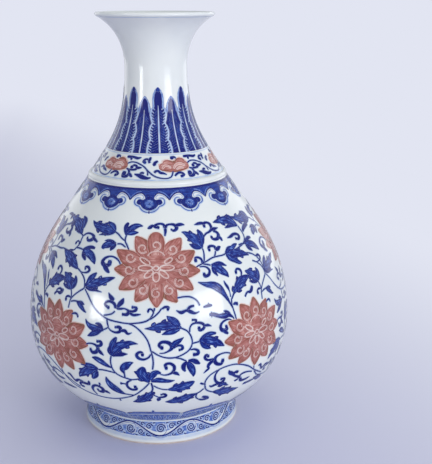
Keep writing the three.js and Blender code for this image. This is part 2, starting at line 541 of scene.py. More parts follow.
def raised_fillet():
    low = point_at(NECK, COLLAR[1])
    high = point_at(NECK, COLLAR[1] + FILLET_HEIGHT)
    glazed("glazed_raised_fillet", "raised_fillet", [bulged(low, high, FILLET_PROUD)], GLAZE)


def slip_roll(name, node, low_curve, high_curve, joint):
    """Roll of slip over a joint, on the inside of the wall."""
    low = point_at(low_curve, joint - SLIP_WIDTH / 2, inside=True)
    high = point_at(high_curve, joint + SLIP_WIDTH / 2, inside=True)
    middle = point_at(high_curve, joint, inside=True)
    sag = (low[0] + high[0]) / 2 - middle[0] + SLIP_PROUD
    run = [(r, z, -nr, -nz) for r, z, nr, nz in bulged(low, high, -sag)]
    glazed(name, node, [run[::-1]], GLAZE)


def foot_slip():
    leg = SLIP_FOOT_LEG
    run = []
    for i in range(SLIP_STEPS + 1):
        a = math.pi / 2 * i / SLIP_STEPS
        r = FOOT_BORE_RADIUS - leg * (1 - math.cos(a))
        z = FOOT_TOP[1] - leg * (1 - math.sin(a))
        run.append((r, z, -math.cos(a), -math.sin(a)))
    glazed("glazed_foot_fillet", "slip_fillet_foot", [run[::-1]], GLAZE)


# A look is a tone, the extra tone gathered at the edge and the width of the soft edge in millimetres
STEM = (1.0, 0.05, 0.14)
LEAF = (0.94, 0.34, 0.06)
BLEED = (0.27, 0.0, 0.75)
BLEED_REACH = 0.7
# Width of a thin stem, width over which a stroke is loaded, what a loaded brush adds, width of a leaf
STEM_WIDTH = 1.08
STEM_TO = 1.2
LOADED = 1.17
LEAF_FROM = 3.0
# Lifts over the glaze; strokes that follow each other differ a little, so that none lies in another
LEAF_LIFT = 0.13
STEM_LIFT = 0.09
BLEED_LIFT = 0.03
NEXT_LIFT = 0.0012
LIFTS = 25
# Steps along a stroke, along its bleed and along its dense run
STEP = 0.7
BLEED_STEP = 1.2
DENSE_STEP = 0.5
# Least length of a rounded end, and where it has its points, as shares of its length
LEAST_CAP = 0.15
CAP_SHARES = (0.0, 0.1, 0.35, 0.65)
LEAST_WIDTH = 0.05
# Side lobes of a broad leaf: how far along it they stand and on which side
LOBES = [(0.22, 1), (0.3, -1), (0.48, 1), (0.58, -1)]
LOBED_FROM = 5.0
# How many points ahead of its root a lobe ends, how far it stands out of the leaf and lies under it
LOBE_AHEAD = 6
LOBE_OUT = 1.5
LOBE_SINK = 0.015
# Widths of a lobe at its root, middle and tip, and the share of its length at which its middle lies
LOBE_WIDTHS = (3.0, 3.4, 0.6)
LOBE_MIDDLE = 0.6
# Widths from which a ribbon has four cells across, and more, and the width of its cells from then on
FOUR_CELLS_FROM = 1.7
MORE_CELLS_FROM = 4.5
CELL_WIDTH = 1.5
# How far the noise moves on from one stroke to the next, so that no two have the same streaks
NEXT_STREAKS = 41.0
# Width of the end of a stroke as a share of the bulb in which it ends
BULB_SHARE = 0.8


def gap(a, b):
    """Distance over the surface between two (angle, climb) points, in millimetres."""
    return math.hypot((b[0] - a[0]) * degree_at((a[1] + b[1]) / 2), b[1] - a[1])


def curve_through(points):
    """Dense smooth run through given (angle, climb, width) points."""
    last = len(points) - 1
    knots = [0.0]
    for a, b in zip(points, points[1:]):
        knots.append(knots[-1] + math.sqrt(max(gap(a, b), 0.01)))
    slopes = []
    for i in range(last + 1):
        low, high = max(i - 1, 0), min(i + 1, last)
        span = knots[high] - knots[low]
        slopes.append([(points[high][k] - points[low][k]) / span for k in range(3)])
    dense = [tuple(points[0])]
    for i in range(last):
        a, b = points[i], points[i + 1]
        span = knots[i + 1] - knots[i]
        steps = max(2, math.ceil(gap(a, b) / DENSE_STEP))
        for j in range(1, steps + 1):
            u = j / steps
            ease = u * u * (3 - 2 * u)
            leave = u * (1 - u) * (1 - u) * span
            reach = u * u * (u - 1) * span
            dense.append(tuple(
                a[k] + (b[k] - a[k]) * ease + slopes[i][k] * leave + slopes[i + 1][k] * reach
                for k in range(3)
            ))
    return dense


def marks_along(total, first, final, step):
    """Distances along a stroke at which it has points, close together in its rounded ends."""
    count = max(1, round((total - first - final) / step))
    start = first if first > LEAST_CAP else 0.0
    end = total - final if final > LEAST_CAP else total
    marks = [first * share for share in CAP_SHARES] if start else [0.0]
    if end - start > 0.01:
        marks += [start + (end - start) * i / count for i in range(0 if start else 1, count + 1)]
    else:
        marks.append(start)
    if end < total:
        marks += [total - final * share for share in reversed(CAP_SHARES)]
    return marks


def spaced(dense, step, blunt):
    """Evenly spaced (angle, climb, width, along) points, with rounded ends if blunt."""
    along = [0.0]
    for a, b in zip(dense, dense[1:]):
        along.append(along[-1] + max(gap(a, b), 1e-6))
    total = along[-1]
    first, final = (min(end[2] / 2, total / 2) if blunt else 0.0 for end in (dense[0], dense[-1]))
    points = []
    for mark in marks_along(total, first, final, step):
        i = min(max(bisect.bisect(along, mark) - 1, 0), len(dense) - 2)
        t = (mark - along[i]) / (along[i + 1] - along[i])
        angle, climb, width = (dense[i][k] + (dense[i + 1][k] - dense[i][k]) * t for k in range(3))
        for inset, cap in ((mark, first), (total - mark, final)):
            if cap > LEAST_CAP and inset < cap:
                width *= math.sqrt(max(0.0, 1 - (1 - inset / cap) ** 2))
        points.append((angle, climb, max(width, LEAST_WIDTH), mark))
    return points


def side_vectors(points):
    """Unit vector to the left of the way at each point, in millimetres along angle and climb."""
    sides = []
    for i in range(len(points)):
        a, b = points[max(i - 1, 0)], points[min(i + 1, len(points) - 1)]
        dx = (b[0] - a[0]) * degree_at(points[i][1])
        dy = b[1] - a[1]
        size = math.hypot(dx, dy) or 1.0
        sides.append((-dy / size, dx / size))
    return sides


def shifted(place, side, by):
    """Angle and climb of a place moved sideways by a distance."""
    angle, climb = place
    return angle + side[0] * by / degree_at(climb), climb + side[1] * by


def cross_shares(widest):
    """Shares of its half width at which a ribbon has points across."""
    if widest < FOUR_CELLS_FROM:
        half = 1
    elif widest < MORE_CELLS_FROM:
        half = 2
    else:
        half = max(3, math.ceil(widest / (2 * CELL_WIDTH)))
    return [i / half for i in range(-half, half + 1)]


class Ink:
    """Painted ribbons that lie just above the glaze, gathered into one mesh."""

    def __init__(self):
        self.verts = []
        self.normals = []
        self.faces = []
        self.places = []
        self.washes = []
        self.count = 0

    def sheet(self, rows, look, lift):
        """Sheet from rows of (angle, climb, along, across, edge) points."""
        base = len(self.verts)
        width = len(rows[0])
        for row in rows:
            for angle, climb, along, across, edge in row:
                r, z, nr, nz = skin(climb)
                a = math.radians(angle)
                sin, cos = math.sin(a), math.cos(a)
                out = (r + nr * lift) * MM
                self.verts.append((out * sin, -out * cos, (z + nz * lift) * MM))
                self.normals.append((nr * sin, -nr * cos, nz))
                self.places.append((along, across, edge))
                self.washes.append(look(angle, climb) if callable(look) else look)
        for i in range(len(rows) - 1):
            for j in range(width - 1):
                p = base + i * width + j
                self.faces.append((p, p + width, p + width + 1, p + 1))

    def ribbon(self, points, look, lift):
        """Ribbon along (angle, climb, width, along) points."""
        shares = cross_shares(max(point[2] for point in points))
        rows = []
        start = NEXT_STREAKS * self.count
        for (angle, climb, width, along), side in zip(points, side_vectors(points)):
            row = []
            for share in shares:
                off = share * width / 2
                edge = (1 - abs(share)) * width / 2
                row.append(shifted((angle, climb), side, off) + (start + along, off, edge))
            rows.append(row)
        self.sheet(rows, look, lift)

    def stroke(self, points, look=None, bleed=BLEED, lift=None, step=STEP, reach=BLEED_REACH):
        """One stroke of the brush; two numbers in a point mean a thin stem, one point a dot."""
        points = [point if len(point) == 3 else point + (STEM_WIDTH,) for point in points]
        if len(points) == 1:
            angle, climb, width = points[0]
            half = width / 2 / degree_at(climb)
            points = [(angle - half, climb, width), (angle + half, climb, width)]
        widest = max(point[2] for point in points)
        if look is None:
            look = LEAF if widest >= LEAF_FROM else STEM
            if widest > STEM_TO:
                points = [(angle, climb, width * LOADED) for angle, climb, width in points]
        if lift is None:
            lift = LEAF_LIFT if widest >= LEAF_FROM else STEM_LIFT
        self.count += 1
        fine = (self.count % LIFTS) * NEXT_LIFT
        dense = curve_through(points)
        self.ribbon(spaced(dense, step, True), look, lift + fine)
        if look is LEAF and widest >= LOBED_FROM:
            self.lobes(dense, lift + fine)
        if bleed:
            wider = [(angle, climb, width + 2 * reach) for angle, climb, width in dense]
            self.ribbon(spaced(wider, BLEED_STEP, False), bleed, BLEED_LIFT + fine / 2)

    def lobes(self, dense, lift):
        """Small pointed lobes along both edges of a leaf."""
        sides = side_vectors(dense)
        last = len(dense) - 1
        for share, side in LOBES:
            at = round(share * last)
            ahead = min(at + LOBE_AHEAD, last)
            root = dense[at][:2]
            tip = shifted(dense[ahead][:2], sides[ahead], side * (dense[ahead][2] / 2 + LOBE_OUT))
            middle = tuple(a + (b - a) * LOBE_MIDDLE for a, b in zip(root, tip))
            points = [place + (width,) for place, width in zip((root, middle, tip), LOBE_WIDTHS)]
            self.ribbon(spaced(curve_through(points), STEP, True), LEAF, lift - LOBE_SINK)

    def band(self, low, high, angles, cells, look, lift):
        """Sheet round the vase between two edges, each a climb for every angle."""
        rows = []
        for angle in angles:
            a, b = low(angle), high(angle)
            row = []
            for j in range(cells + 1):
                climb = a + (b - a) * j / cells
                edge = min(climb - a, b - climb)
                row.append((angle, climb, angle * degree_at(climb), climb, max(edge, 0.0)))
            rows.append(row)
        self.sheet(rows, look, lift)

    def finish(self, name, material):
        piece = add_piece(name, self.verts, self.normals, self.faces, material)
        for label, values in (("place", self.places), ("wash", self.washes)):
            attribute = piece.data.attributes.new(label, "FLOAT_VECTOR", "POINT")
            attribute.data.foreach_set("vector", [number for value in values for number in value])


def turned_by(points, degrees):
    return [(point[0] + degrees,) + tuple(point[1:]) for point in points]


def spray(ink, strokes, degrees, look=None):
    """Paints a spray turned round the vase; a dot after a stroke is the bulb that stroke ends in."""
    for stroke, after in zip(strokes, strokes[1:] + [()]):
        points = turned_by(stroke, degrees)
        if len(stroke) > 1 and len(after) == 1:
            angle, climb, width = after[0]
            points.append((angle + degrees, climb, width * BULB_SHARE))
        ink.stroke(points, look)




# Strokes as (angle, climb, width): degrees round from the front, millimetres up the wall, width
LEFT_SPRAY = [
    # leaf under the collar
    [(-37.8, 168, .2), (-35, 165.8, 2.6), (-31, 164.4, 4.8), (-27, 163.6, 5.6), (-23, 163, 5),
     (-20.3, 162.3, 1.2)],
    [(-26.8, 169.2, .2), (-25, 167.6, 2.4), (-22.8, 166, 3.2), (-20.8, 163.2, 1.6)],
    [(-30.3, 158.8, .2), (-27.5, 160, 1.8), (-24, 161, 2.6), (-21, 162, 1.6)],
    [(-20.5, 162.3), (-18.5, 161), (-16.5, 158.8), (-14.2, 156.8)],
    # sprig over the upper flower
    [(-13.6, 160.2, 1), (-14.7, 163.5, 2), (-14.8, 167, 2.6), (-13.8, 169.6, 1.4)],
    [(-13.6, 161, 1.2), (-12.3, 164.5, 4), (-10, 166.8, 3.6), (-7.5, 167.8, 2.4), (-4.9, 167.4, .2)],
    [(-13.5, 161.2, 1), (-11.5, 162.5, 3), (-9.3, 162.7, 2.4), (-7.2, 163, .4)],
    [(-13.8, 160.5), (-14, 157), (-12.6, 153.8), (-11, 150.2)],
    # leaf beside the upper flower
    [(-13, 152.3), (-15.5, 154.3), (-18, 154.3)],
    [(-25.6, 155.4, .3), (-23.5, 156, 1.6), (-21, 155.2, 2.6), (-18.5, 154, 1.2)],
    [(-25.7, 149.8, 1.6), (-24.8, 152, 3.4), (-22.5, 153.4, 4.2), (-19, 153.7, 2)],
    [(-21, 149.2, .8), (-20.3, 151.3, 2.6), (-19.3, 153.2, 2.6), (-18.4, 154.2, 1)],
    # curl out of the upper flower
    [(-14.2, 139.8, .7), (-15.3, 142.8, .9), (-17.5, 144.9, 1.1), (-20, 145.5, 1.2), (-22.4, 144.2, 1.6),
     (-23.7, 141.6, 2.2), (-22.6, 139.3, 2.6), (-21, 139.2, 2.4), (-19.8, 140, 2.2)],
    [(-19.9, 141.2, 3.2)],
    [(-22.8, 139.8, 1.8), (-21.4, 137.5, 2.8), (-20, 135.5, 2), (-19, 134.6, .6)],
    # leaf at the left shoulder
    [(-42, 147), (-40, 147.4), (-37, 147)],
    [(-37, 147.3, 1), (-34.5, 148.8, 2.2), (-32, 149.7, 2.2), (-29.7, 149.4, 1.2)],
    [(-37, 147, 1), (-34, 146, 4.2), (-31, 144.3, 4.4), (-28.8, 141.5, 3.2), (-27.5, 138.8, .3)],
    [(-36.7, 146.3, 1), (-35.6, 143.8, 2.8), (-34.3, 141.8, 2.2), (-33.3, 140.2, .6)],
    # vine down the left
    [(-36.8, 134.3), (-34.5, 132.6), (-32.5, 130.3), (-31, 127.5), (-30.3, 124), (-30.3, 122.3),
     (-32, 120.3), (-34, 117.8), (-35.8, 115), (-36.6, 113), (-36.9, 110.5), (-37.2, 107)],
    [(-34.8, 132.5, .7), (-32.5, 132.2, .8), (-30.3, 133, 1.4), (-29.6, 134.8, 1.7), (-30.8, 136.4, 1.6),
     (-32.2, 136, 1.4)],
    [(-32, 135, 1.6)],
    # leaf between the flowers
    [(-30.3, 124.5, 1.5), (-27, 125.8, 5), (-23.5, 127.7, 4.6), (-20, 129.8, 3.2), (-17.5, 131.2, 1.8),
     (-15.9, 131.9, .2)],
    [(-29.5, 125, 1.5), (-28, 129, 3.4), (-26.6, 131.5, 2.8), (-25.3, 133.7, .6)],
    [(-29.8, 123.5, 1.5), (-27.5, 122.8, 2.8), (-24.5, 122.3, 1.6), (-21.3, 121.6, .3)],
    # leaf at the left edge
    [(-44, 129.4, .4), (-41.8, 127.5, 4), (-39.5, 124.5, 5.4), (-37.8, 121.5, 4.2), (-37.2, 119.3, 1.2)],
    [(-36.5, 129.2, .5), (-35.9, 126.5, 2.8), (-36.3, 123, 3.4), (-37.2, 120, 1.6)],
    [(-43, 122, .5), (-41.3, 121, 2), (-39.3, 120.4, 2.4), (-37.4, 119.7, 1.2)],
    [(-37.3, 119.5), (-36.7, 117.3), (-36.4, 114.5)],
    [(-36.4, 114.2, .9), (-38, 114.8, 1.3), (-39.3, 113.9, 1.3)],
    [(-39.3, 112.4, 2.2)],
    [(-36.3, 111.8), (-34.5, 112.7), (-32.8, 112.9)],
    [(-33, 112.9, 1.2), (-31.5, 111.6, 3), (-30, 109.6, 2.6), (-28.6, 107.6, 1.4), (-27.5, 106.8, .3)],
    [(-32.5, 112.8, 1), (-30.5, 112.6, 2), (-28.8, 111.6, .5)],
    # main vine to the upper flower, and its branch to the loop
    [(-29.8, 122), (-27.8, 118.5), (-26, 114.8), (-24.3, 111.6), (-22.3, 108.8), (-20, 106.5),
     (-17.7, 104.8), (-15, 103.9), (-12, 103.3), (-9, 103), (-6, 103.4), (-3, 104.2), (-1, 105.5),
     (.5, 108), (1.3, 111), (1.6, 113.5)],
    [(-9, 103), (-7, 102), (-5, 99.8), (-3, 96.5), (-1.5, 93), (-.6, 89.5), (-.1, 86), (.2, 84.5)],
    [(-35, 103.6, .8), (-33.5, 104.8, 1.2), (-32.2, 104.6, 1.3)],
    [(-31.6, 103.3, 1.6)],
    # leaf under the main vine
    [(-17.9, 104.7), (-17.6, 102), (-17.2, 99.5), (-19, 97.6)],
    [(-19, 97.6, 1.2), (-22, 97.3, 4.2), (-25, 98.3, 3.4), (-26.8, 100.5, 1.8), (-27.6, 102.8, .3)],
    [(-19.5, 98.2, 1), (-20.7, 100, 2.4), (-22, 100.9, 1.6), (-23, 100.6, .6)],
    [(-20, 96.8, 1.2), (-22.5, 95, 3.4), (-24.5, 93.2, 2.6), (-26.4, 91.6, .4)],
    [(-17.2, 99.3, .8), (-16, 97.5, .9), (-14, 96.6, 1.3), (-12.5, 97.2, 1.8), (-11.9, 98.8, 2.2),
     (-12.7, 100.3, 2)],
    [(-14.1, 100, 1.6)],
    [(-11.9, 97.8, 1.4), (-10.3, 98.2, 2), (-9, 96.2, 1.4), (-7.3, 97.2, .2)],
    # curls under the upper flower
    [(-19.5, 106.9), (-17.5, 107.6), (-15.8, 108.6), (-14.6, 110.5)],
    [(-15.4, 117, 2), (-16.8, 118.8, 2.6), (-18.2, 122, .3)],
    [(-14.5, 112, 1.4), (-15, 114.8, 1.8), (-16.8, 116.3, 1.6), (-18.5, 115.8, 1.4), (-19.2, 114, 1.6)],
    [(-17.6, 112.3, 2)],
    [(-14.3, 112, 1.4), (-12.8, 115, 2.6), (-11.8, 117, 2.6), (-11.2, 119.3, .3)],
    [(-14, 112, 1.2), (-12.3, 112.2, 1.4), (-10.8, 112.5, 1), (-9.5, 111.8, 1.2), (-8.7, 110.6, 2),
     (-9.6, 108.8, 2)],
    [(-11.2, 108.7, 1.8)],
    [(-8.7, 111, 1.4), (-7, 111, 1.6), (-5.9, 112, 1.8), (-5.7, 113.4, 1.6)],
    [(-7.3, 113.6, 1.8)],
    [(-8.5, 110, 1.4), (-7, 108.7, 1.6), (-5.5, 108.9, 1.4), (-3.8, 109.2, .5)],
    # leaf over the lower stem
    [(-15.9, 80.5, 1.6), (-15.2, 84, 4.2), (-13, 87.3, 5), (-10.5, 88.8, 3.8), (-8, 90.2, 2.6),
     (-4.9, 89.8, .2)],
    [(-15.8, 82, 1.4), (-15.7, 87, 3.2), (-14.6, 90.8, 3), (-13.6, 93.6, .8)],
    [(-16, 81, 1.4), (-16.9, 84, 2), (-16.5, 87.6, .4)],
    [(-15.6, 80.5, 1.4), (-13.8, 81.8, 2.8), (-11.5, 82.3, 2.6), (-9.1, 82.6, .4)],
    [(-27.2, 85.6, .7), (-25.5, 86.8, .9), (-23.8, 86.9, 1.1), (-22.2, 86, 1.8), (-21.5, 84, 2.4),
     (-22.5, 81.5, 2.2), (-24.2, 81, 2)],
    [(-24.9, 82.7, 2)],
    [(-22.5, 86, 1.4), (-21, 86.2, 1.8), (-20, 87.4, 2), (-20.3, 89.2, 1.8)],
    [(-21.8, 89, 1.8)],
    [(-21.8, 84, 1.4), (-20.6, 82, 2.2), (-19, 79.8, .4)],
    [(0, 83, 1), (-.9, 80.8, 1.1), (-2.8, 79.3, 1.4), (-4.7, 80, 1.8), (-5.6, 82, 2), (-4.9, 83.9, 1.7),
     (-3.6, 84.4, 1.4)],
    [(-3.3, 82.6, 2.2)],
    [(-15.9, 80.5), (-16.3, 77), (-16.1, 73.5), (-15.5, 70.5), (-14.3, 68), (-12.3, 66), (-10, 64.8),
     (-8.2, 64), (-6.5, 64.3), (-4.8, 65)],
    # leaves and curls low on the left
    [(-24.5, 77.3, .3), (-22.8, 77, 2.6), (-20.5, 75.5, 3.4), (-18.5, 73.6, 2.4), (-15.9, 71.8, .7)],
    [(-14.5, 68.2), (-17.5, 69), (-20, 69.3), (-22, 69)],
    [(-22, 69.2, 1.4), (-24.5, 70.5, 3), (-27.5, 71, 2.4), (-30.3, 70.3, .5)],
    [(-22.3, 68.8, 1.4), (-26, 67.5, 5.4), (-29, 64.8, 5), (-31.3, 61.8, 3), (-32.3, 59.4, .4)],
    [(-22.5, 68, 1.4), (-23.5, 65, 3.8), (-24.8, 62.3, 2.8), (-25.6, 60.6, 1)],
    [(-10.7, 65.2, .8), (-10.9, 68.7, 1), (-11.5, 71.5, 3.4), (-10, 74.3, 4.2), (-8.3, 76.2, 2.4),
     (-6.9, 77, .2)],
    [(-18.9, 64.5, .3), (-18.5, 61, 2.8), (-17, 57, 4.6), (-15, 54, 4.4), (-13, 51.8, 2.6),
     (-11.5, 50.8, 1), (-7.5, 50.2, .8)],
    [(-8, 63.8, 1), (-9.7, 62, 1.3), (-10.3, 59.5, 1.6), (-9.6, 56.8, 1.8), (-8, 55.4, 1.8),
     (-6.4, 56.2, 1.8)],
    [(-6.9, 58, 2.2)],
    [(-10.3, 60, 1), (-12.2, 60.2, 1)],
    [(-12.6, 60.2, 1.8)],
    [(-.9, 62), (-2.2, 59), (-4, 55.7), (-6.5, 51.8), (-9, 49), (-12, 46.8), (-15, 45.2), (-18, 44.2),
     (-22, 43.8), (-26, 44.3), (-29, 45), (-32, 46.3), (-35, 48), (-38, 50), (-40, 53), (-42, 57),
     (-43, 61)],
    [(-14.8, 45), (-14.7, 42.4)],
    [(-25.7, 45.5, .9), (-26.8, 48.5, 1.2), (-27, 51.5, 1.8), (-26, 54, 1.8), (-24.5, 55, 1.8),
     (-22.8, 54.3, 2), (-21.6, 52.3, 2.4), (-22.3, 49.8, 2.4), (-24, 49.8, 1.8)],
    [(-24.3, 51, 2)],
    [(-23, 54.5, 1), (-22.6, 57.2, 1)],
    [(-22.6, 57.2, 1.6)],
    [(-21.5, 51, 1.4), (-20, 50.6, 2.2), (-18.7, 49, .4)],
    [(-28.7, 53.5, 2), (-28, 56, 2), (-27.8, 58, .6)],
    [(-28.5, 54.2, 2), (-30.5, 54.6, 2), (-32.5, 54.3, 1.8), (-33.3, 52.5, 1.8), (-32.5, 50.8, 1.8)],
    [(-31.8, 51, 1.8)],
    [(-31, 55.6, 1.4), (-33.5, 56.2, 1.6), (-35.5, 54.3, 2), (-36.5, 55.5, 1.6), (-38, 58.9, 1.8),
     (-39.5, 58.8, .8)],
    [(-46.5, 46.5, 2), (-41, 46, 2), (-37.5, 45.8, .4)],
    # leaves at the foot of the middle stem
    [(-9, 42.7, .2), (-6.5, 44, 3.6), (-3.8, 46.8, 6), (-1.5, 50, 5.2), (-.3, 53.2, 2.2), (-.1, 54.5, 1),
     (.3, 57, 1), (-.2, 62, 1)],
    [(-.8, 62.3, 1.6), (-2.5, 65.5, 5), (-3.8, 69, 6.4), (-3.4, 72, 4.4), (-2.8, 74, 1.4)],
    [(-.5, 64, 1.6), (.5, 68, 3.8), (2, 70, 3), (3.8, 69.2, 1)],
    [(-.3, 63, 1.4), (2.5, 64, 3.4), (5.5, 63.2, 2.6), (7.5, 62.9, 1.8), (9.3, 63.3, .2)],
    [(.2, 84.5), (.7, 80), (.8, 76), (.5, 72)],
]
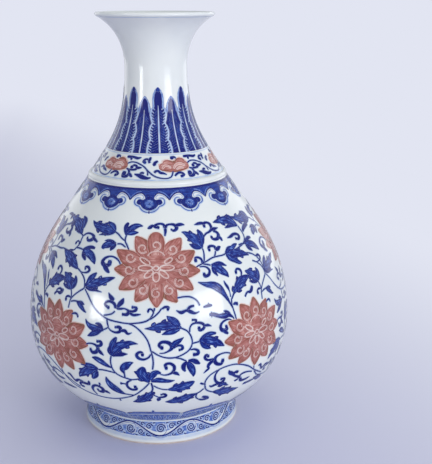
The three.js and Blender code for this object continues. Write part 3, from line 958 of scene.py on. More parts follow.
RIGHT_SPRAY = [
    # stems and curls under the upper flower
    [(-.5, 105.9), (1.5, 107.8), (3.2, 110.3), (4.5, 113)],
    [(4.6, 112.6, 1), (5.8, 113.8, 1.4), (7.3, 113.6, 1.6)],
    [(7, 112.3, 1.8)],
    [(1.2, 110, .9), (.7, 112.1, 1), (-.5, 112.7, 1.2)],
    [(-1, 111.2, 1.6)],
    # leaf of the loop
    [(-2.4, 100, .2), (1, 100.3, 2.8), (4, 101.4, 4.6), (7, 101.7, 5.2), (10, 100.8, 4), (12.2, 99.8, 1.2)],
    [(6.4, 108.2, .2), (7.8, 106, 3.4), (9.8, 103.8, 4), (11.6, 100.9, 1.8)],
    [(4.3, 96, .2), (6.5, 97.2, 2.6), (9, 98, 3.2), (11.5, 99.3, 1.6)],
    # loop of the vine
    [(.3, 85), (3, 82.1), (6, 80.3), (9.5, 80.2), (13, 82.3), (15.2, 85), (16.3, 89), (15.9, 93.5),
     (14.5, 97.3), (12, 99.8)],
    [(3.3, 83.5, .7), (5.2, 83.7, .9), (7, 85, 1.3), (8.2, 87, 2.4), (7.8, 89.3, 2.4), (6, 91, 2),
     (4, 90.8, 1.8), (3.2, 88.8, 1.8)],
    [(4.3, 87.2, 2.4)],
    [(8, 87.5, 2), (9.3, 89.8, 3), (11, 91.2, 2.6), (13, 93.6, .2)],
    [(8.5, 86.5, 1.2), (10.3, 88.2, 1.4), (12, 88, 1.6), (12.4, 86, 1.8)],
    [(11.2, 85.2, 1.6)],
    [(15.4, 96.5, .9), (15.6, 99.5, .9), (16.6, 101.6, 1.2), (18.5, 102.2, 1.4), (20.5, 101.5, 1.6),
     (21.6, 99.6, 1.8), (20.9, 97.6, 1.8), (19.5, 97, 1.8)],
    [(19.3, 98.4, 2.2)],
    [(21.5, 99.6, 1.2), (23, 99.7, 1.8), (24.7, 98.6, .3)],
    [(18, 102, 1.2), (18.3, 104, 1.4)],
    [(16.8, 104.3, 1.4)],
    # leaf right of the loop
    [(16.4, 88.8), (19.2, 89.6)],
    [(19.2, 89.8, 1.2), (21.5, 92.3, 3), (24, 93.7, 2.6), (26.5, 93.4, 1)],
    [(19.2, 89.5, 1.2), (22.5, 89.8, 5), (25.5, 88, 4.6), (28, 85.8, 3.2), (30, 83.6, .3)],
    [(19.6, 89, 1.2), (21, 86.6, 3), (22.6, 84.8, 2.4), (24, 83.8, .4)],
    [(15.4, 84.6, .8), (17, 84.8, 1.2), (18.5, 83.5, 1.8), (18.6, 81.3, 2)],
    [(17, 81, 2.2)],
    # sprig out of the upper flower
    [(11, 119.3), (13.5, 119.7), (16, 119.5), (18, 118.2), (19.5, 116), (20.3, 113)],
    [(10.3, 111.4, .4), (12.4, 109.7, 2), (14.5, 110.8, 1.5), (16, 110, 2.2), (18, 108.5, 1.4),
     (20, 109.3, .4)],
    [(15, 111.3, 1.5), (16.3, 113, 1.6), (18, 113.4, 1.2)],
    [(21.7, 111.7, 1), (23, 112, 1.6), (24.5, 112.3, 1.8), (25.8, 112.1, 1)],
    [(23.3, 112.5), (24.5, 113.8)],
    [(24.6, 106.2, 3.2), (25.5, 106.2, 3)],
    [(24, 106.3, 1.5), (26, 106, 2.2), (28.5, 104.3, 2.4), (31, 103.8, 3.6), (33, 103.6, 2.2),
     (34.8, 101.5, .9), (35.2, 100, .8)],
    [(30.5, 107.3, .4), (32, 106, 2), (33.5, 103.8, 1.8)],
    [(34, 100, .7), (32.5, 101, 1), (30.5, 100.5, 1.3), (29, 98.8, 1.6), (28.6, 96.2, 2),
     (29.6, 94.3, 2.4), (31.5, 94.6, 2)],
    [(31.2, 96.4, 2.2)],
    [(29.5, 94.5, 2), (30.8, 92.8, 2.2), (32, 91.2, .8)],
    # long leaf down to the lower flower
    [(20.6, 128.2, .3), (24, 126.2, 2.6), (27.5, 124.8, 4.2), (30, 122.2, 4.6), (32, 118, 2.8),
     (33.8, 112.5, 1.4), (35.3, 107.5, 1)],
    [(36.3, 99.5), (35.9, 103), (35.3, 107), (35, 110.5), (35.2, 114)],
    [(33, 126.7, .3), (33.6, 124, 1.4), (34.4, 121.5, 1.6), (34.9, 118.5, .6), (35, 115, .8)],
    [(35.2, 113.5, 1), (37, 117, 1.2), (39.5, 120.5, 5), (42, 123, 6.4), (45, 124.8, 4), (48.3, 125.8, .3)],
    [(35.5, 109.8, 1), (36.8, 110.3, 2)],
    [(37.6, 109.7, 2)],
    [(42.5, 112.6, 1.2), (43.5, 114.5, 1.4), (44.6, 115.3, 1.2), (46, 114.9, 2), (47.2, 116.3, 2.4),
     (48, 118.5, 1.6)],
    # two curls over the upper flower
    [(7, 160.3, .9), (7.6, 163.5, 1.6), (7.5, 166, 1.8)],
    [(7.3, 166, 1.8), (6.8, 168.3, 1.6), (4.8, 169.2, 1.4), (2.8, 168.6, 1.6), (1.5, 167.2, 2)],
    [(3.6, 166.6, 2)],
    [(1.5, 167.5, 1.5), (0, 167.6, 1.8), (-1, 166.5, 2.2), (-2.5, 165.8, .6)],
    [(7.7, 166, 1.8), (8.5, 168, 1.5), (10.5, 168.5, 1.3), (12.5, 168.2, 1.8), (14, 166.8, 2.4),
     (13.6, 164.8, 2), (12, 163.9, 1.6)],
    [(11, 164.7, 1.4)],
    [(13.5, 167.5, 1.4), (15.5, 167.9, 2.2), (17.3, 168, 1.8), (19, 167.4, .3)],
    # leaf right of the upper flower
    [(25.8, 150, 1.4), (24.8, 154, 5.5), (22.5, 157.8, 5.6), (20, 160.2, 3.8), (18, 162, 2),
     (16.3, 162.7, .2)],
    [(26, 152, 1.6), (27, 156.5, 3.2), (26.8, 160, 3.2), (25.7, 163.4, .8)],
    [(25.3, 150.3, 1.4), (23, 151.5, 3.2), (21.2, 152.5, 2.4), (19.5, 154, .3)],
    [(26, 150), (26.2, 147.5), (25.9, 144.5), (25.2, 141), (24.2, 139.9)],
    [(20.8, 138), (22.5, 139), (24.2, 139.8), (27, 141.3), (30, 142.8), (33, 143.2), (36, 143.3),
     (38.5, 144)],
    [(24.2, 140, 1.3), (24.3, 142.5, 1.4), (23, 144.2, 1.5), (21.3, 144.3, 1.5)],
    [(21.3, 142.5, 2.4)],
    [(22.5, 138, .7), (24.5, 138, .9), (26.3, 136.8, 1.2), (27.1, 134.5, 1.6), (26.2, 132, 1.9),
     (24.3, 131.4, 1.8)],
    [(24.2, 132.7, 2.2)],
    [(24.5, 139.6), (26.5, 139), (28.3, 138)],
    [(28.5, 138, 1.2), (31, 138.3, 2.4), (33.5, 138, 2.6), (36.5, 135.8, .5)],
    [(28.5, 137.8, 1.2), (31, 136, 4.8), (33.5, 133, 4.4), (35.2, 130.5, 2.8), (36.1, 128, .3)],
    [(28.8, 137, 1.2), (29.3, 134, 2.6), (30.7, 130.2, .5)],
    [(31.3, 143.3), (32.2, 145.2), (32.8, 147)],
    [(33, 147.5, 1.6), (33, 149.6, 1.8), (31.4, 150.8, 1.6), (29.5, 150.2, 1.8)],
    [(29.5, 148.3, 2)],
    [(32.8, 147.4, 1.6), (34.2, 148, 2.4), (35.3, 149, 2), (36.5, 149.3, .4)],
    # curls under the collar on the right
    [(26.8, 152.8, 1.4), (27.6, 155, 1.2), (28.3, 157.5, 1.1), (30.2, 159.6, 1.2), (32.5, 160.6, 1.4),
     (34.3, 162, 1.8), (34.8, 164.3, 1.8), (34.2, 166.4, 1.7), (32.5, 167.4, 1.5), (30.5, 166.8, 2)],
    [(30.6, 165.2, 2.2)],
    [(31, 167, 1.5), (29, 167.4, 2), (27, 167.3, 1.8), (24.5, 166.8, .2)],
    [(34, 161.5, 1.4), (36, 162, 2.2), (39.2, 162.4, .3)],
    [(35, 160.8, 1.4), (37, 159.5, 1.8), (37.6, 157.3, 2.2), (36.5, 155.2, 2.2), (34.5, 154.8, 1.8),
     (33, 155.8, 1.6)],
    [(33, 156.6, 2)],
    [(37.3, 156.5, 1.6), (38.3, 154.5, 1.8), (38.6, 152.6, .8)],
    [(43, 126.6, .9), (43.7, 129.5, 1.5), (43, 131.5, 1.6), (41.3, 132, 1.5)],
    [(40.6, 130.2, 2.2)],
    # curls and leaves low on the right
    [(3.5, 68.5, .7), (5.5, 67.8, .9), (7.8, 69, 1.4), (9, 71.5, 1.8), (8.9, 74.3, 1.9),
     (7.3, 76.2, 1.7), (5.5, 75.5, 1.7)],
    [(5.9, 73, 2.2)],
    [(8.3, 69.2, 1.2), (9.7, 68.8, 2.2), (11.2, 66.8, .4)],
    [(9.3, 80), (11.3, 79.3), (12.8, 78), (14, 76.8)],
    [(14, 76.8, 1.4), (12.8, 74, 2.8), (12.8, 71.5, 2.4), (13.5, 69.4, .8)],
    [(14.3, 76.5, 1.6), (15.3, 73.5, 4), (16.3, 70, 3.8), (16.8, 67, 2.4), (16.8, 64.8, .3)],
    [(14.5, 77, 1.4), (16.5, 77, 2.6), (18, 75.5, 2.8), (19.5, 73.8, .5)],
    [(.6, 59.5), (2.5, 57.3), (4.5, 56), (6.5, 55.6)],
    [(6.5, 55.6, 1.2), (9, 56, 3.8), (12, 57, 6), (14.8, 58.6, 5), (16.8, 60.3, 2.4), (17.5, 61, .4)],
    [(.5, 50.8), (2, 49), (2.7, 48.2)],
    [(2.7, 48.3, 1.6), (4.8, 48.6, 1.8), (5.8, 50.2, 1.8), (4.8, 51.8, 1.6)],
    [(3.8, 51, 1.6)],
    [(2.8, 48.2, 1.6), (2.6, 46, 2.6), (2.2, 44, .5)],
    [(5.3, 43, .2), (8, 43.2, 3.8), (11, 44, 5.4), (14, 45.5, 6.4), (17, 47.8, 3.8), (18.8, 49, 1.2),
     (20.3, 50.3, 1), (22, 53, 1)],
    # vine to the lower flower
    [(22.3, 55.5), (22.1, 58.5), (22.8, 61.5), (24.3, 64.2), (26.8, 66.3), (29.5, 67.7), (32.5, 68.3),
     (35.5, 68), (38.5, 66.5), (41, 64.7), (44, 62), (48, 57), (52, 53), (56, 49.5)],
    [(22.3, 55.5), (22.8, 52.5), (24.2, 50), (26.5, 47.8), (29, 46)],
    [(19.3, 49), (19, 46), (19.8, 43.5), (21.5, 41.5), (23.5, 40.7)],
    [(26.5, 48, .8), (29, 47, 4), (32.5, 45.5, 6.4), (36, 44.3, 5), (39, 43.8, 2.8), (41.5, 43.9, .2)],
    [(20.5, 42.5, 1.1), (22.3, 41, 2), (24.5, 41, 2.4), (26, 41.6, 1.6)],
    [(22, 44.8, 1.6), (24, 43.3, 2.4), (25.6, 41.8, 1.4)],
    [(22, 57, .9), (20.8, 57.8, 1.4), (20, 58.8, 1)],
    [(34, 75.2, .7), (32.5, 77.5, .9), (30.3, 78.6, .9), (28, 78.3, 1.1), (26.2, 77, 1.8),
     (25.6, 74.6, 2.4), (26.5, 72, 2.2), (28.6, 71, 2)],
    [(29.3, 73.2, 2.6)],
    [(25.5, 75.5, 2), (24, 75.6, 1.6), (22.3, 76, 1.6), (21.4, 77.8, 1.8), (22, 79.7, 1.6)],
    [(22.8, 78.5, 2)],
    [(25, 74.8, 2), (23.5, 73, 2.2), (22.8, 71, 1.8), (23.2, 69.5, 1.4), (22.3, 68.2, 1.4), (21, 66.2, .4)],
    [(28, 67, 1), (26.7, 64.5, 1.2), (26.3, 61.5, 1.4), (26.8, 58.5, 1.6), (28, 56, 2),
     (29.5, 54.8, 2.6), (30.8, 56.5, 2.2), (31, 58.5, 1.8)],
    [(29.7, 58.5, 2.2)],
    [(29, 55, 2.4), (27, 54.5, 2), (25.5, 53.6, 1.8), (24.2, 55, .5)],
    [(29.5, 54.3, 3), (29.6, 52.8, 3.4), (31.5, 53.6, 2.6), (32.8, 51.8, 1.6), (34.2, 50.8, .3)],
    [(32.6, 64.6, .3), (33.4, 62.3, 2.6), (35, 60.5, 2.6), (36.5, 58, 1.6), (38.5, 56.3, 2),
     (40, 54.5, 2.2)],
    [(35.3, 60.8, 1.4), (36.8, 61.3, 2.2), (38, 60.2, 1.8)],
    [(39, 56.5, 1.6), (40.5, 57.9, 1.5), (42.8, 58, 1.3), (45, 57.2, 1.1), (47, 56, 1)],
    [(40, 54.5, 2.4), (40.8, 51.8, 2.2), (43, 50.9, 2), (45, 51.3, 1.8), (46.6, 51.6, .4)],
    [(39, 54.3, 1.4), (37.5, 53.4, 1.8), (36.8, 54, .6)],
]
# Where two sprays meet, at the left edge of the front and opposite it
LEFT_MEETING = [
    [(-51.5, 144), (-46, 143.8), (-43, 145.3), (-42, 147)],
    [(-42, 147), (-40.6, 150), (-40.7, 153.5), (-40.7, 156), (-43, 157.5)],
    [(-60, 167, .2), (-55, 165.5, 3.6), (-49, 163.5, 6), (-45, 160.5, 5), (-42, 157, 1.2)],
    [(-47, 169.5, .3), (-44.5, 166.5, 4), (-43, 161, 2)],
    [(-50, 159.5, .4), (-46, 158.8, 2.6), (-42.5, 157.3, 1.2)],
    [(-41, 149, .8), (-41.4, 151.3, 1), (-42.8, 151.8, 1)],
    [(-43.5, 150.1, 1.8)],
    [(-40.5, 156, .9), (-38.8, 158, 1.1), (-36.5, 158.7, 1.2), (-34, 158, 1.6), (-32.8, 156.3, 2.4),
     (-34, 154.5, 2.2), (-36, 153.9, 1.8)],
    [(-37, 155.3, 1.6)],
    [(-33.5, 156.3, 1.6), (-31.8, 155.3, 1.8), (-29.5, 153.6, 1)],
    [(-50, 143.2, .3), (-46.5, 141.5, 4.6), (-43, 139.5, 6.6), (-39.5, 136.5, 4.8), (-36.5, 133.7, 1.2)],
    [(-46.5, 115.5, 1), (-45.5, 117.2, 1.1), (-44, 117.9, 1.4), (-42.8, 117, 1.8), (-43.4, 115.4, 1.4)],
]
# Where two sprays meet, at the right edge of the front and opposite it
RIGHT_MEETING = [
    [(37.8, 143.6, 1.2), (41, 143.6, 4.8), (45, 142.3, 5), (49, 141, 3.4), (52.5, 138.5, .3)],
    [(38, 144, 1.2), (40.5, 146.3, 3), (43, 146.6, 2.8), (45.3, 148, 2.2), (47.3, 148.5, .4)],
    [(38, 143, 1.2), (39.8, 140.6, 3.6), (42.3, 138.2, 3.4), (44.3, 136, 2.4), (46, 135, .5)],
    [(38.5, 144), (45, 145), (50, 146.5), (53, 147.5)],
    [(50, 141), (54.5, 139), (58, 135), (59.7, 130), (59.7, 124)],
    [(52, 147.3), (54.5, 150), (55.3, 154), (54.3, 160)],
    [(37, 166.6, .2), (40, 166.8, 2.4), (44, 166.8, 4.2), (48, 166, 5), (52, 163.3, 3.6), (54, 160, 1.2)],
    [(49.5, 170.3, .3), (51, 167, 3), (53.5, 162, 1.6)],
    [(43.6, 161, .3), (46.5, 161.6, 2.2), (49.5, 161.8, 2.6), (53.5, 160.4, 1.2)],
    [(42.3, 153.8, .3), (45, 154.3, 1.8), (47.5, 155.3, 1.8), (50, 155, 1.8), (51.3, 153.2, 2),
     (50, 151.3, 1.8)],
    [(48.3, 152, 1.8)],
    [(56, 155, 1.2), (58, 157, 2.4), (61, 158.5, 2.8), (64, 158, .4)],
    [(50, 48, .4), (53, 46.5, 3.4), (56, 44.5, 4), (59, 43, .4)],
]


# Looks of the red painting
PINK_LINE = (0.36, 0.0, 0.36)
CURL_LINE = (0.48, 0.0, 0.36)
DOME_LINE = (0.5, 0.0, 0.36)
BLUSH = (0.32, 0.0, 1.9)
BLUSH_REACH = 1.3

# The scroll repeats on each side of the vase
SIDES = 4
SIDE_ANGLE = 90

# Tips of the twelve petals from the flower's middle, millimetres round and up
UPPER_TIPS = [
    (0, 25.5), (17.7, 20.8), (26.4, 11.2), (29, -2.5), (23.5, -14.2), (12.9, -21.6),
    (0, -24.5), (-13.3, -20.8), (-23.8, -13.5), (-27.8, -.5), (-27.1, 12.3), (-14.5, 22.4),
]
LOWER_TIPS = [
    (0, 25.3), (14, 20.5), (25, 12.5), (28.2, -.5), (25.2, -14.5), (14.4, -21.5),
    (.8, -24.5), (-16.6, -18.3), (-25, -12.5), (-28.2, .2), (-24.2, 13.5), (-13.3, 23),
]
# Width of a petal along its way from the middle to its tip
PETAL_WIDTHS = [(0.25, 6.0), (0.45, 9.6), (0.62, 11.2), (0.74, 9.8), (0.84, 7.0), (0.93, 4.0), (1.0, 1.0)]
ROUND_WIDTHS = [(0.25, 6.0), (0.45, 9.6), (0.64, 11.4), (0.78, 10.8), (0.88, 9.0), (0.95, 6.2), (1.0, 2.8)]
# Rings of four flowers: name, petal tips, angle and climb of the first, tone, widths of the top petal
LOTUSES = [
    ("upper_lotus_flowers", UPPER_TIPS, 2.4, 138, 0.7, ROUND_WIDTHS),
    ("lower_lotus_flowers", LOWER_TIPS, 47, 85.8, 0.72, PETAL_WIDTHS),
]
FLOWER_RADIUS = 28
# Odd petals are painted first and the even ones over them
PETAL_ORDER = [1, 3, 5, 7, 9, 11, 0, 2, 4, 6, 8, 10]
# How far the slanting petals bow, and how much thinner the copper is at the heart and thicker at the tips
PETAL_BOW = 0.14
THINNER = 0.08
THICKER = 0.18
# A petal's curl: where it lies along the petal, its radius, and how it turns, in degrees
CURL_PLACE = 0.63
CURL_RADIUS = 3.5
CURL_START = 200
CURL_TURN = 42
CURL_POINTS = 10
# The heart's wash: how far it goes to each side, and its width
WASH_REACH = 9
WASH_WIDTH = 20
# How far the heart's ring and dome lie over the flower's middle, and their radii across and up
HEART_RISE = 1.0
HEART_RING = (1.7, 1.4)
DOME_RISE = 7.8
DOME_RADII = (5.8, 4.4)
DOME_ARC = [math.radians(a) for a in range(15, 166, 15)]
ROUND = [math.radians(a) for a in range(0, 361, 36)]
# Small petals of the heart: heading in degrees, near end, far end and half width in millimetres
HEART_PETALS = [
    (180, 2.2, 11.5, 1.8), (0, 2.2, 11.7, 1.8), (220, 2.6, 9.6, 1.6), (320, 2.6, 10, 1.6),
    (270, 2.6, 8.8, 2.1), (148, 4.6, 12.4, 1.5), (30, 6.4, 12.2, 1.4),
]


def spot(middle, x, y):
    """Angle and climb of a place given in millimetres from a middle."""
    climb = middle[1] + y
    return middle[0] + x / degree_at(middle[1] + y / 2), climb


def arc(middle, angles, across, up, width):
    """Points of one width on an ellipse round a middle."""
    return [spot(middle, across * math.cos(a), up * math.sin(a)) + (width,) for a in angles]


def copper_petal(middle, tone, gathered, soft):
    """Look of copper that is thin round the flower's heart and thick at the tips of its petals."""
    def look(angle, climb):
        away = gap(middle, (angle, climb)) / FLOWER_RADIUS
        return tone - THINNER + THICKER * away * away, gathered, soft
    return look


def bent(x, y, t):
    """Place along a petal, from its middle to its tip; the slanting petals curl up at the tip."""
    bow = PETAL_BOW * (t - t * t) * math.sin(4 * math.atan2(y, x))
    return x * t + y * bow, y * t - x * bow


def petals(ink, middle, tips, tone, top_widths):
    """The twelve petals; the first one stands at the top."""
    wash = copper_petal(middle, tone, 0.17, 0.2)
    for rank, i in enumerate(PETAL_ORDER):
        widths = PETAL_WIDTHS if i else top_widths
        points = [spot(middle, *bent(*tips[i], t)) + (width,) for t, width in widths]
        ink.stroke(points, wash, BLUSH, lift=0.08 + 0.012 * rank, reach=BLUSH_REACH)


def petal_curl(ink, middle, x, y):
    """Pale spiral on a petal, which winds in from its open end."""
    centre = spot(middle, x * CURL_PLACE, y * CURL_PLACE)
    side = 1 if x < 0 else -1
    points = []
    for i in range(CURL_POINTS):
        a = math.atan2(y, x) + side * math.radians(CURL_START - CURL_TURN * i)
        reach = CURL_RADIUS * (1 - 0.07 * i)
        points.append(spot(centre, reach * math.cos(a), reach * math.sin(a)) + (1.1 - 0.05 * i,))
    ink.stroke(points, CURL_LINE, None, lift=0.31, step=0.6)


def heart_petals(ink, heart):
    for degrees, near, far, half_width in HEART_PETALS:
        cos, sin = math.cos(math.radians(degrees)), math.sin(math.radians(degrees))
        half, far_out = (far - near) / 2, (far + near) / 2
        points = []
        for a in ROUND:
            x, y = far_out - half * math.cos(a), half_width * math.sin(a)
            points.append(spot(heart, x * cos - y * sin, x * sin + y * cos) + (0.75,))
        ink.stroke(points, PINK_LINE, None, lift=0.34, step=0.6)


def lotus(ink, middle, tips, tone, top_widths):
    """Open lotus flower with twelve petals, each with a pale curl."""
    petals(ink, middle, tips, tone, top_widths)
    wash = [spot(middle, x, 0) + (WASH_WIDTH,) for x in (-WASH_REACH, WASH_REACH)]
    ink.stroke(wash, copper_petal(middle, tone, 0.0, 0.02), None, lift=0.27)
    dome = []
    for a in DOME_ARC:
        x, y = DOME_RADII[0] * math.cos(a), DOME_RISE + DOME_RADII[1] * math.sin(a)
        dome.append(spot(middle, x, y) + (0.7,))
    ink.stroke(dome, DOME_LINE, None, lift=0.3)
    for x, y in tips:
        petal_curl(ink, middle, x, y)
    heart = spot(middle, 0, HEART_RISE)
    ink.stroke(arc(heart, ROUND, *HEART_RING, 0.7), PINK_LINE, None, lift=0.33, step=0.5)
    heart_petals(ink, heart)


def lotus_scroll():
    """Scroll round the belly: four sides of stems and leaves, and two rings of flowers."""
    for k in range(SIDES):
        ink = Ink()
        turn = SIDE_ANGLE * k
        spray(ink, LEFT_SPRAY + RIGHT_SPRAY, turn)
        if k % 2:
            spray(ink, LEFT_MEETING, turn + SIDE_ANGLE)
        else:
            spray(ink, RIGHT_MEETING, turn)
        ink.finish("scroll_side_%d" % (k + 1), COBALT)
    for name, tips, angle, climb, tone, top_widths in LOTUSES:
        ink = Ink()
        for k in range(SIDES):
            lotus(ink, (angle + SIDE_ANGLE * k, climb), tips, tone, top_widths)
        ink.finish(name, COPPER)


# Looks of the blue borders
DEEP = (0.93, 0.05, 0.15)
GROUND = (0.84, 0.12, 0.1)
DARK_RIM = (0.8, 0.0, 0.2)
MIDDLE = (0.55, 0.0, 0.15)
PALE = (0.2, 0.0, 0.2)
BARE = (0.02, 0.0, 0.2)
VEIN = (0.76, 0.0, 0.03)

RUYI_HEADS = 13
RUYI_FIRST = -2.1
RUYI_PITCH = 360 / RUYI_HEADS
NECK_REPEATS = 6
LEAVES = 8
LEAF_PITCH = 360 / LEAVES
FRONT_LEAF_FIRST = 6.5
BACK_LEAF_FIRST = 29.0
LAPPETS = 12
LAPPET_FIRST = -0.5
LAPPET_PITCH = 360 / LAPPETS
WAVES = 8
WAVE_FIRST = 25.0
WAVE_PITCH = 360 / WAVES

# Lines round the vase: climb, width, look and lift
RUYI_RINGS = [(193.8, 1.6, (1.06, 0.0, 0.03), 0.12), (197.6, 0.6, (0.14, 0.0, 0.8), 0.05)]
NECK_RINGS = [(200.2, 1.5, (0.2, 0.0, 0.5), 0.05), (218.6, 1.5, (0.16, 0.0, 0.6), 0.05)]
LAPPET_RINGS = [(2.0, 1.0, PALE, 0.08)]
FOOT_RINGS = [(-6.2, 11.6, (0.46, 0.0, 0.7), 0.05), (-13, 4.4, (0.13, 0.0, 1.8), 0.04)]
RIM_RINGS = [(CLIMBS[-1] - 1.2, 1.3, (0.17, 0.0, 0.6), 0.05)]
RING_ANGLES = [i * 1.5 for i in range(241)]


def rings(ink, table):
    """Lines all the way round the vase."""
    for climb, width, look, lift in table:
        low, high = climb - width / 2, climb + width / 2
        ink.band(lambda _: low, lambda _: high, RING_ANGLES, 2, look, lift)


def between(stops, at):
    """Smooth value between (place, value) stops."""
    for (a, low), (b, high) in zip(stops, stops[1:]):
        if at <= b:
            t = min(max((at - a) / (b - a), 0.0), 1.0)
            return low + (high - low) * (t * t * (3 - 2 * t))
    return stops[-1][1]


def from_nearest(angle, first, pitch):
    """Degrees from the nearest of the motifs that stand a pitch apart."""
    return abs((angle - first + pitch / 2) % pitch - pitch / 2)


def both_sides(ink, middle, points, look, lift, bleed=None):
    """A stroke given by distances from a middle line, and its mirror image."""
    for side in (1, -1):
        ink.stroke([(middle + side * point[0],) + point[1:] for point in points], look, bleed, lift)


def upright(ink, middle, points, look, lift, bleed=None):
    """A stroke up or down a middle line, from climbs and widths."""
    ink.stroke([(middle, climb, width) for climb, width in points], look, bleed, lift)


# Lower edge of the collar's dark band, by degrees from the middle of a head
RUYI_EDGE = [
    (0, 186), (3.1, 186.4), (3.6, 188.6), (4.6, 190), (6.2, 190.6), (8.4, 190.3), (10.6, 189.2),
    (12.5, 187.4), (13.85, 185.4),
]
RUYI_TOP = 194.6
# Strokes of one half of a head: degrees from its middle, climb and width
RUYI_CURL = [
    (5.6, 187.1, .5), (4.6, 187, .7), (4.3, 188.1, .7), (5.2, 189.2, .8), (6.4, 189.7, .8),
    (8.3, 189.4, .8), (10.4, 188.3, .7), (12.1, 186.7, .5),
]
RUYI_LOBE = [(1.5, 184.5, 4.2), (4.4, 184.2, 3.8), (6.4, 184.4, 4), (8.7, 185.2, 3.7)]
RUYI_CONTOUR = [
    (6.2, 187, .4), (8, 187.5, .8), (9.7, 186.8, 1), (10.4, 185.2, 1.1), (10, 183.2, 1.1), (8.4, 182, 1.1),
    (6.7, 181.4, 1.1), (5.7, 180, 1.1), (4.4, 178.6, 1.1), (2.4, 177.5, 1.1), (0, 177.2, 1),
]
# Widths of a head's hanging middle, of its tassel and of its eye, by climb
RUYI_DROP = [
    (188.6, 5), (187.2, 5.8), (185.8, 8.6), (184.2, 12), (182.8, 12), (181.4, 10.8), (180.2, 9.4),
    (179.2, 8), (178.4, 6),
]
RUYI_TASSEL = [(178.2, 1.3), (176.2, .8)]
RUYI_EYE_CLIMB = 183.2
RUYI_EYE_RING = (1.8, 1.7)
RUYI_EYE_TURNS = [math.radians(a) for a in range(0, 361, 30)]
RUYI_BODY = (0.95, 0.08, 0.04)
RUYI_CURL_LINE = (0.44, 0.0, 0.35)
RUYI_LINE = (1.06, 0.0, 0.03)
RUYI_GLINT = (0.55, 0.0, 0.03)
RUYI_RIM = (0.6, 0.0, 0.3)
RUYI_EYE = (0.72, 0.2, 0.02)


def ruyi_edge(angle):
    return between(RUYI_EDGE, from_nearest(angle, RUYI_FIRST, RUYI_PITCH))


def ruyi_head(ink, middle):
    """Cloud head that hangs from the band, with pale curls over it and an eye in its middle."""
    dark_edge = [(x, climb + 0.35, .9) for x, climb in RUYI_EDGE[2:]]
    glint = [(x, climb + 1.5, .7) for x, climb in RUYI_EDGE[4:]]
    both_sides(ink, middle, RUYI_CURL, RUYI_CURL_LINE, lift=0.12)
    both_sides(ink, middle, dark_edge, RUYI_LINE, lift=0.13)
    both_sides(ink, middle, glint, RUYI_GLINT, lift=0.11)
    both_sides(ink, middle, RUYI_CONTOUR, RUYI_RIM, lift=0.07, bleed=BLEED)
    upright(ink, middle, RUYI_TASSEL, STEM, lift=STEM_LIFT, bleed=BLEED)
    both_sides(ink, middle, RUYI_LOBE, RUYI_BODY, lift=0.15, bleed=BLEED)
    upright(ink, middle, RUYI_DROP, RUYI_BODY, lift=0.18, bleed=BLEED)
    upright(ink, middle, [(RUYI_EYE_CLIMB, 6.6)], RUYI_EYE, lift=0.21)
    ring = arc((middle, RUYI_EYE_CLIMB), RUYI_EYE_TURNS, *RUYI_EYE_RING, .6)
    ink.stroke(ring, RUYI_GLINT, None, lift=0.24)
    upright(ink, middle, [(RUYI_EYE_CLIMB, 1.2)], RUYI_LINE, lift=0.27)


def ruyi_collar():
    """Border of cloud heads that hangs from a dark band round the shoulder."""
    ink = Ink()
    steps = 30 * RUYI_HEADS
    angles = [RUYI_FIRST + 360 * i / steps for i in range(steps + 1)]
    ink.band(ruyi_edge, lambda _: RUYI_TOP, angles, 8, GROUND, 0.09)
    rings(ink, RUYI_RINGS)
    for k in range(RUYI_HEADS):
        ruyi_head(ink, RUYI_FIRST + RUYI_PITCH * k)
    ink.finish("ruyi_collar", COBALT)


# Strokes of the small scroll round the foot of the neck
NECK_SPRAY = [
    [(22.8, 215.3, .9), (21.5, 216.7, 1.2), (19.5, 216.9, 1.3)],
    [(18.6, 216.1, 2.4)],
    [(31, 216.6, 1.3), (33.5, 216.7, 1.9), (38.5, 216.7, 1.6), (43.5, 216, 1.8), (47.5, 216.7, .6)],
    [(36, 216.4, 1.2), (37, 215.3, 2.2), (38, 215.2, 2)],
    [(33.8, 211.6), (36, 212.6), (39, 213.1), (43, 212.8), (46.5, 211.8), (50.5, 210.3), (53.5, 208.2),
     (55, 205.8), (55, 203.5)],
    [(54, 207.8), (57.5, 205.2), (61.5, 203), (65.5, 201.8), (69.5, 201.3), (73, 201.5), (75.8, 202.8),
     (77.8, 206.5)],
    [(34, 208.3, .9), (36.5, 207.5, 1.3), (42.5, 207.6, 1.5), (44.5, 208.8, 1.8), (43.5, 210.4, 1.6),
     (41, 210.8, 1.4)],
    [(39.3, 209.4, 2.2)],
    [(44, 209, 1.5), (46, 209, 1.9), (49.3, 209.3, .5)],
    [(36.5, 207.3, 1.3), (37.8, 205.5, 1.6), (37, 203, 2), (35, 202.2, 2.2), (32.5, 202.5, 2.2)],
    [(33.2, 204.4, 3)],
    [(37.8, 205, 1.3), (39.5, 203.5, 2), (41.7, 202, .9)],
    [(43, 204.4, .5), (46, 203.8, 1.8), (48.5, 203.2, 2.6), (51, 202.3, 2.8), (55.2, 201.6, 1.8),
     (58, 202.2, .7)],
    [(48, 204.6, 1.1), (50, 205.6, 1.5), (52, 205, 1.2)],
    [(18.5, 202.8, 1), (20.5, 204.2, 1.4), (23, 205.2, 1.6), (25.5, 204.8, 1.6), (27.3, 203.3, 1.6)],
    [(24.8, 202.5, 2)],
    [(.8, 205.5, 1.4), (2, 206.7, 1.6), (4.3, 207, 1.6), (6.2, 205.6, 1.8), (8.5, 205.3, 1.6),
     (12, 204.1, .5)],
    [(-.5, 210.8, 1.2), (.8, 211.6, 2), (1.5, 213, 1.8), (4.6, 214.2, 1)],
    [(-3.8, 212.5, 1.6), (-5, 214.8, 1.4), (-7, 215.6, 1.3), (-9.2, 214.8, 1.5), (-9.9, 213.4, 1.8)],
    [(-8.5, 213.1, 2)],
    [(-4.5, 213.8, 1.3), (-3.6, 215.7, 1.8), (-2.6, 217.2, .7)],
]
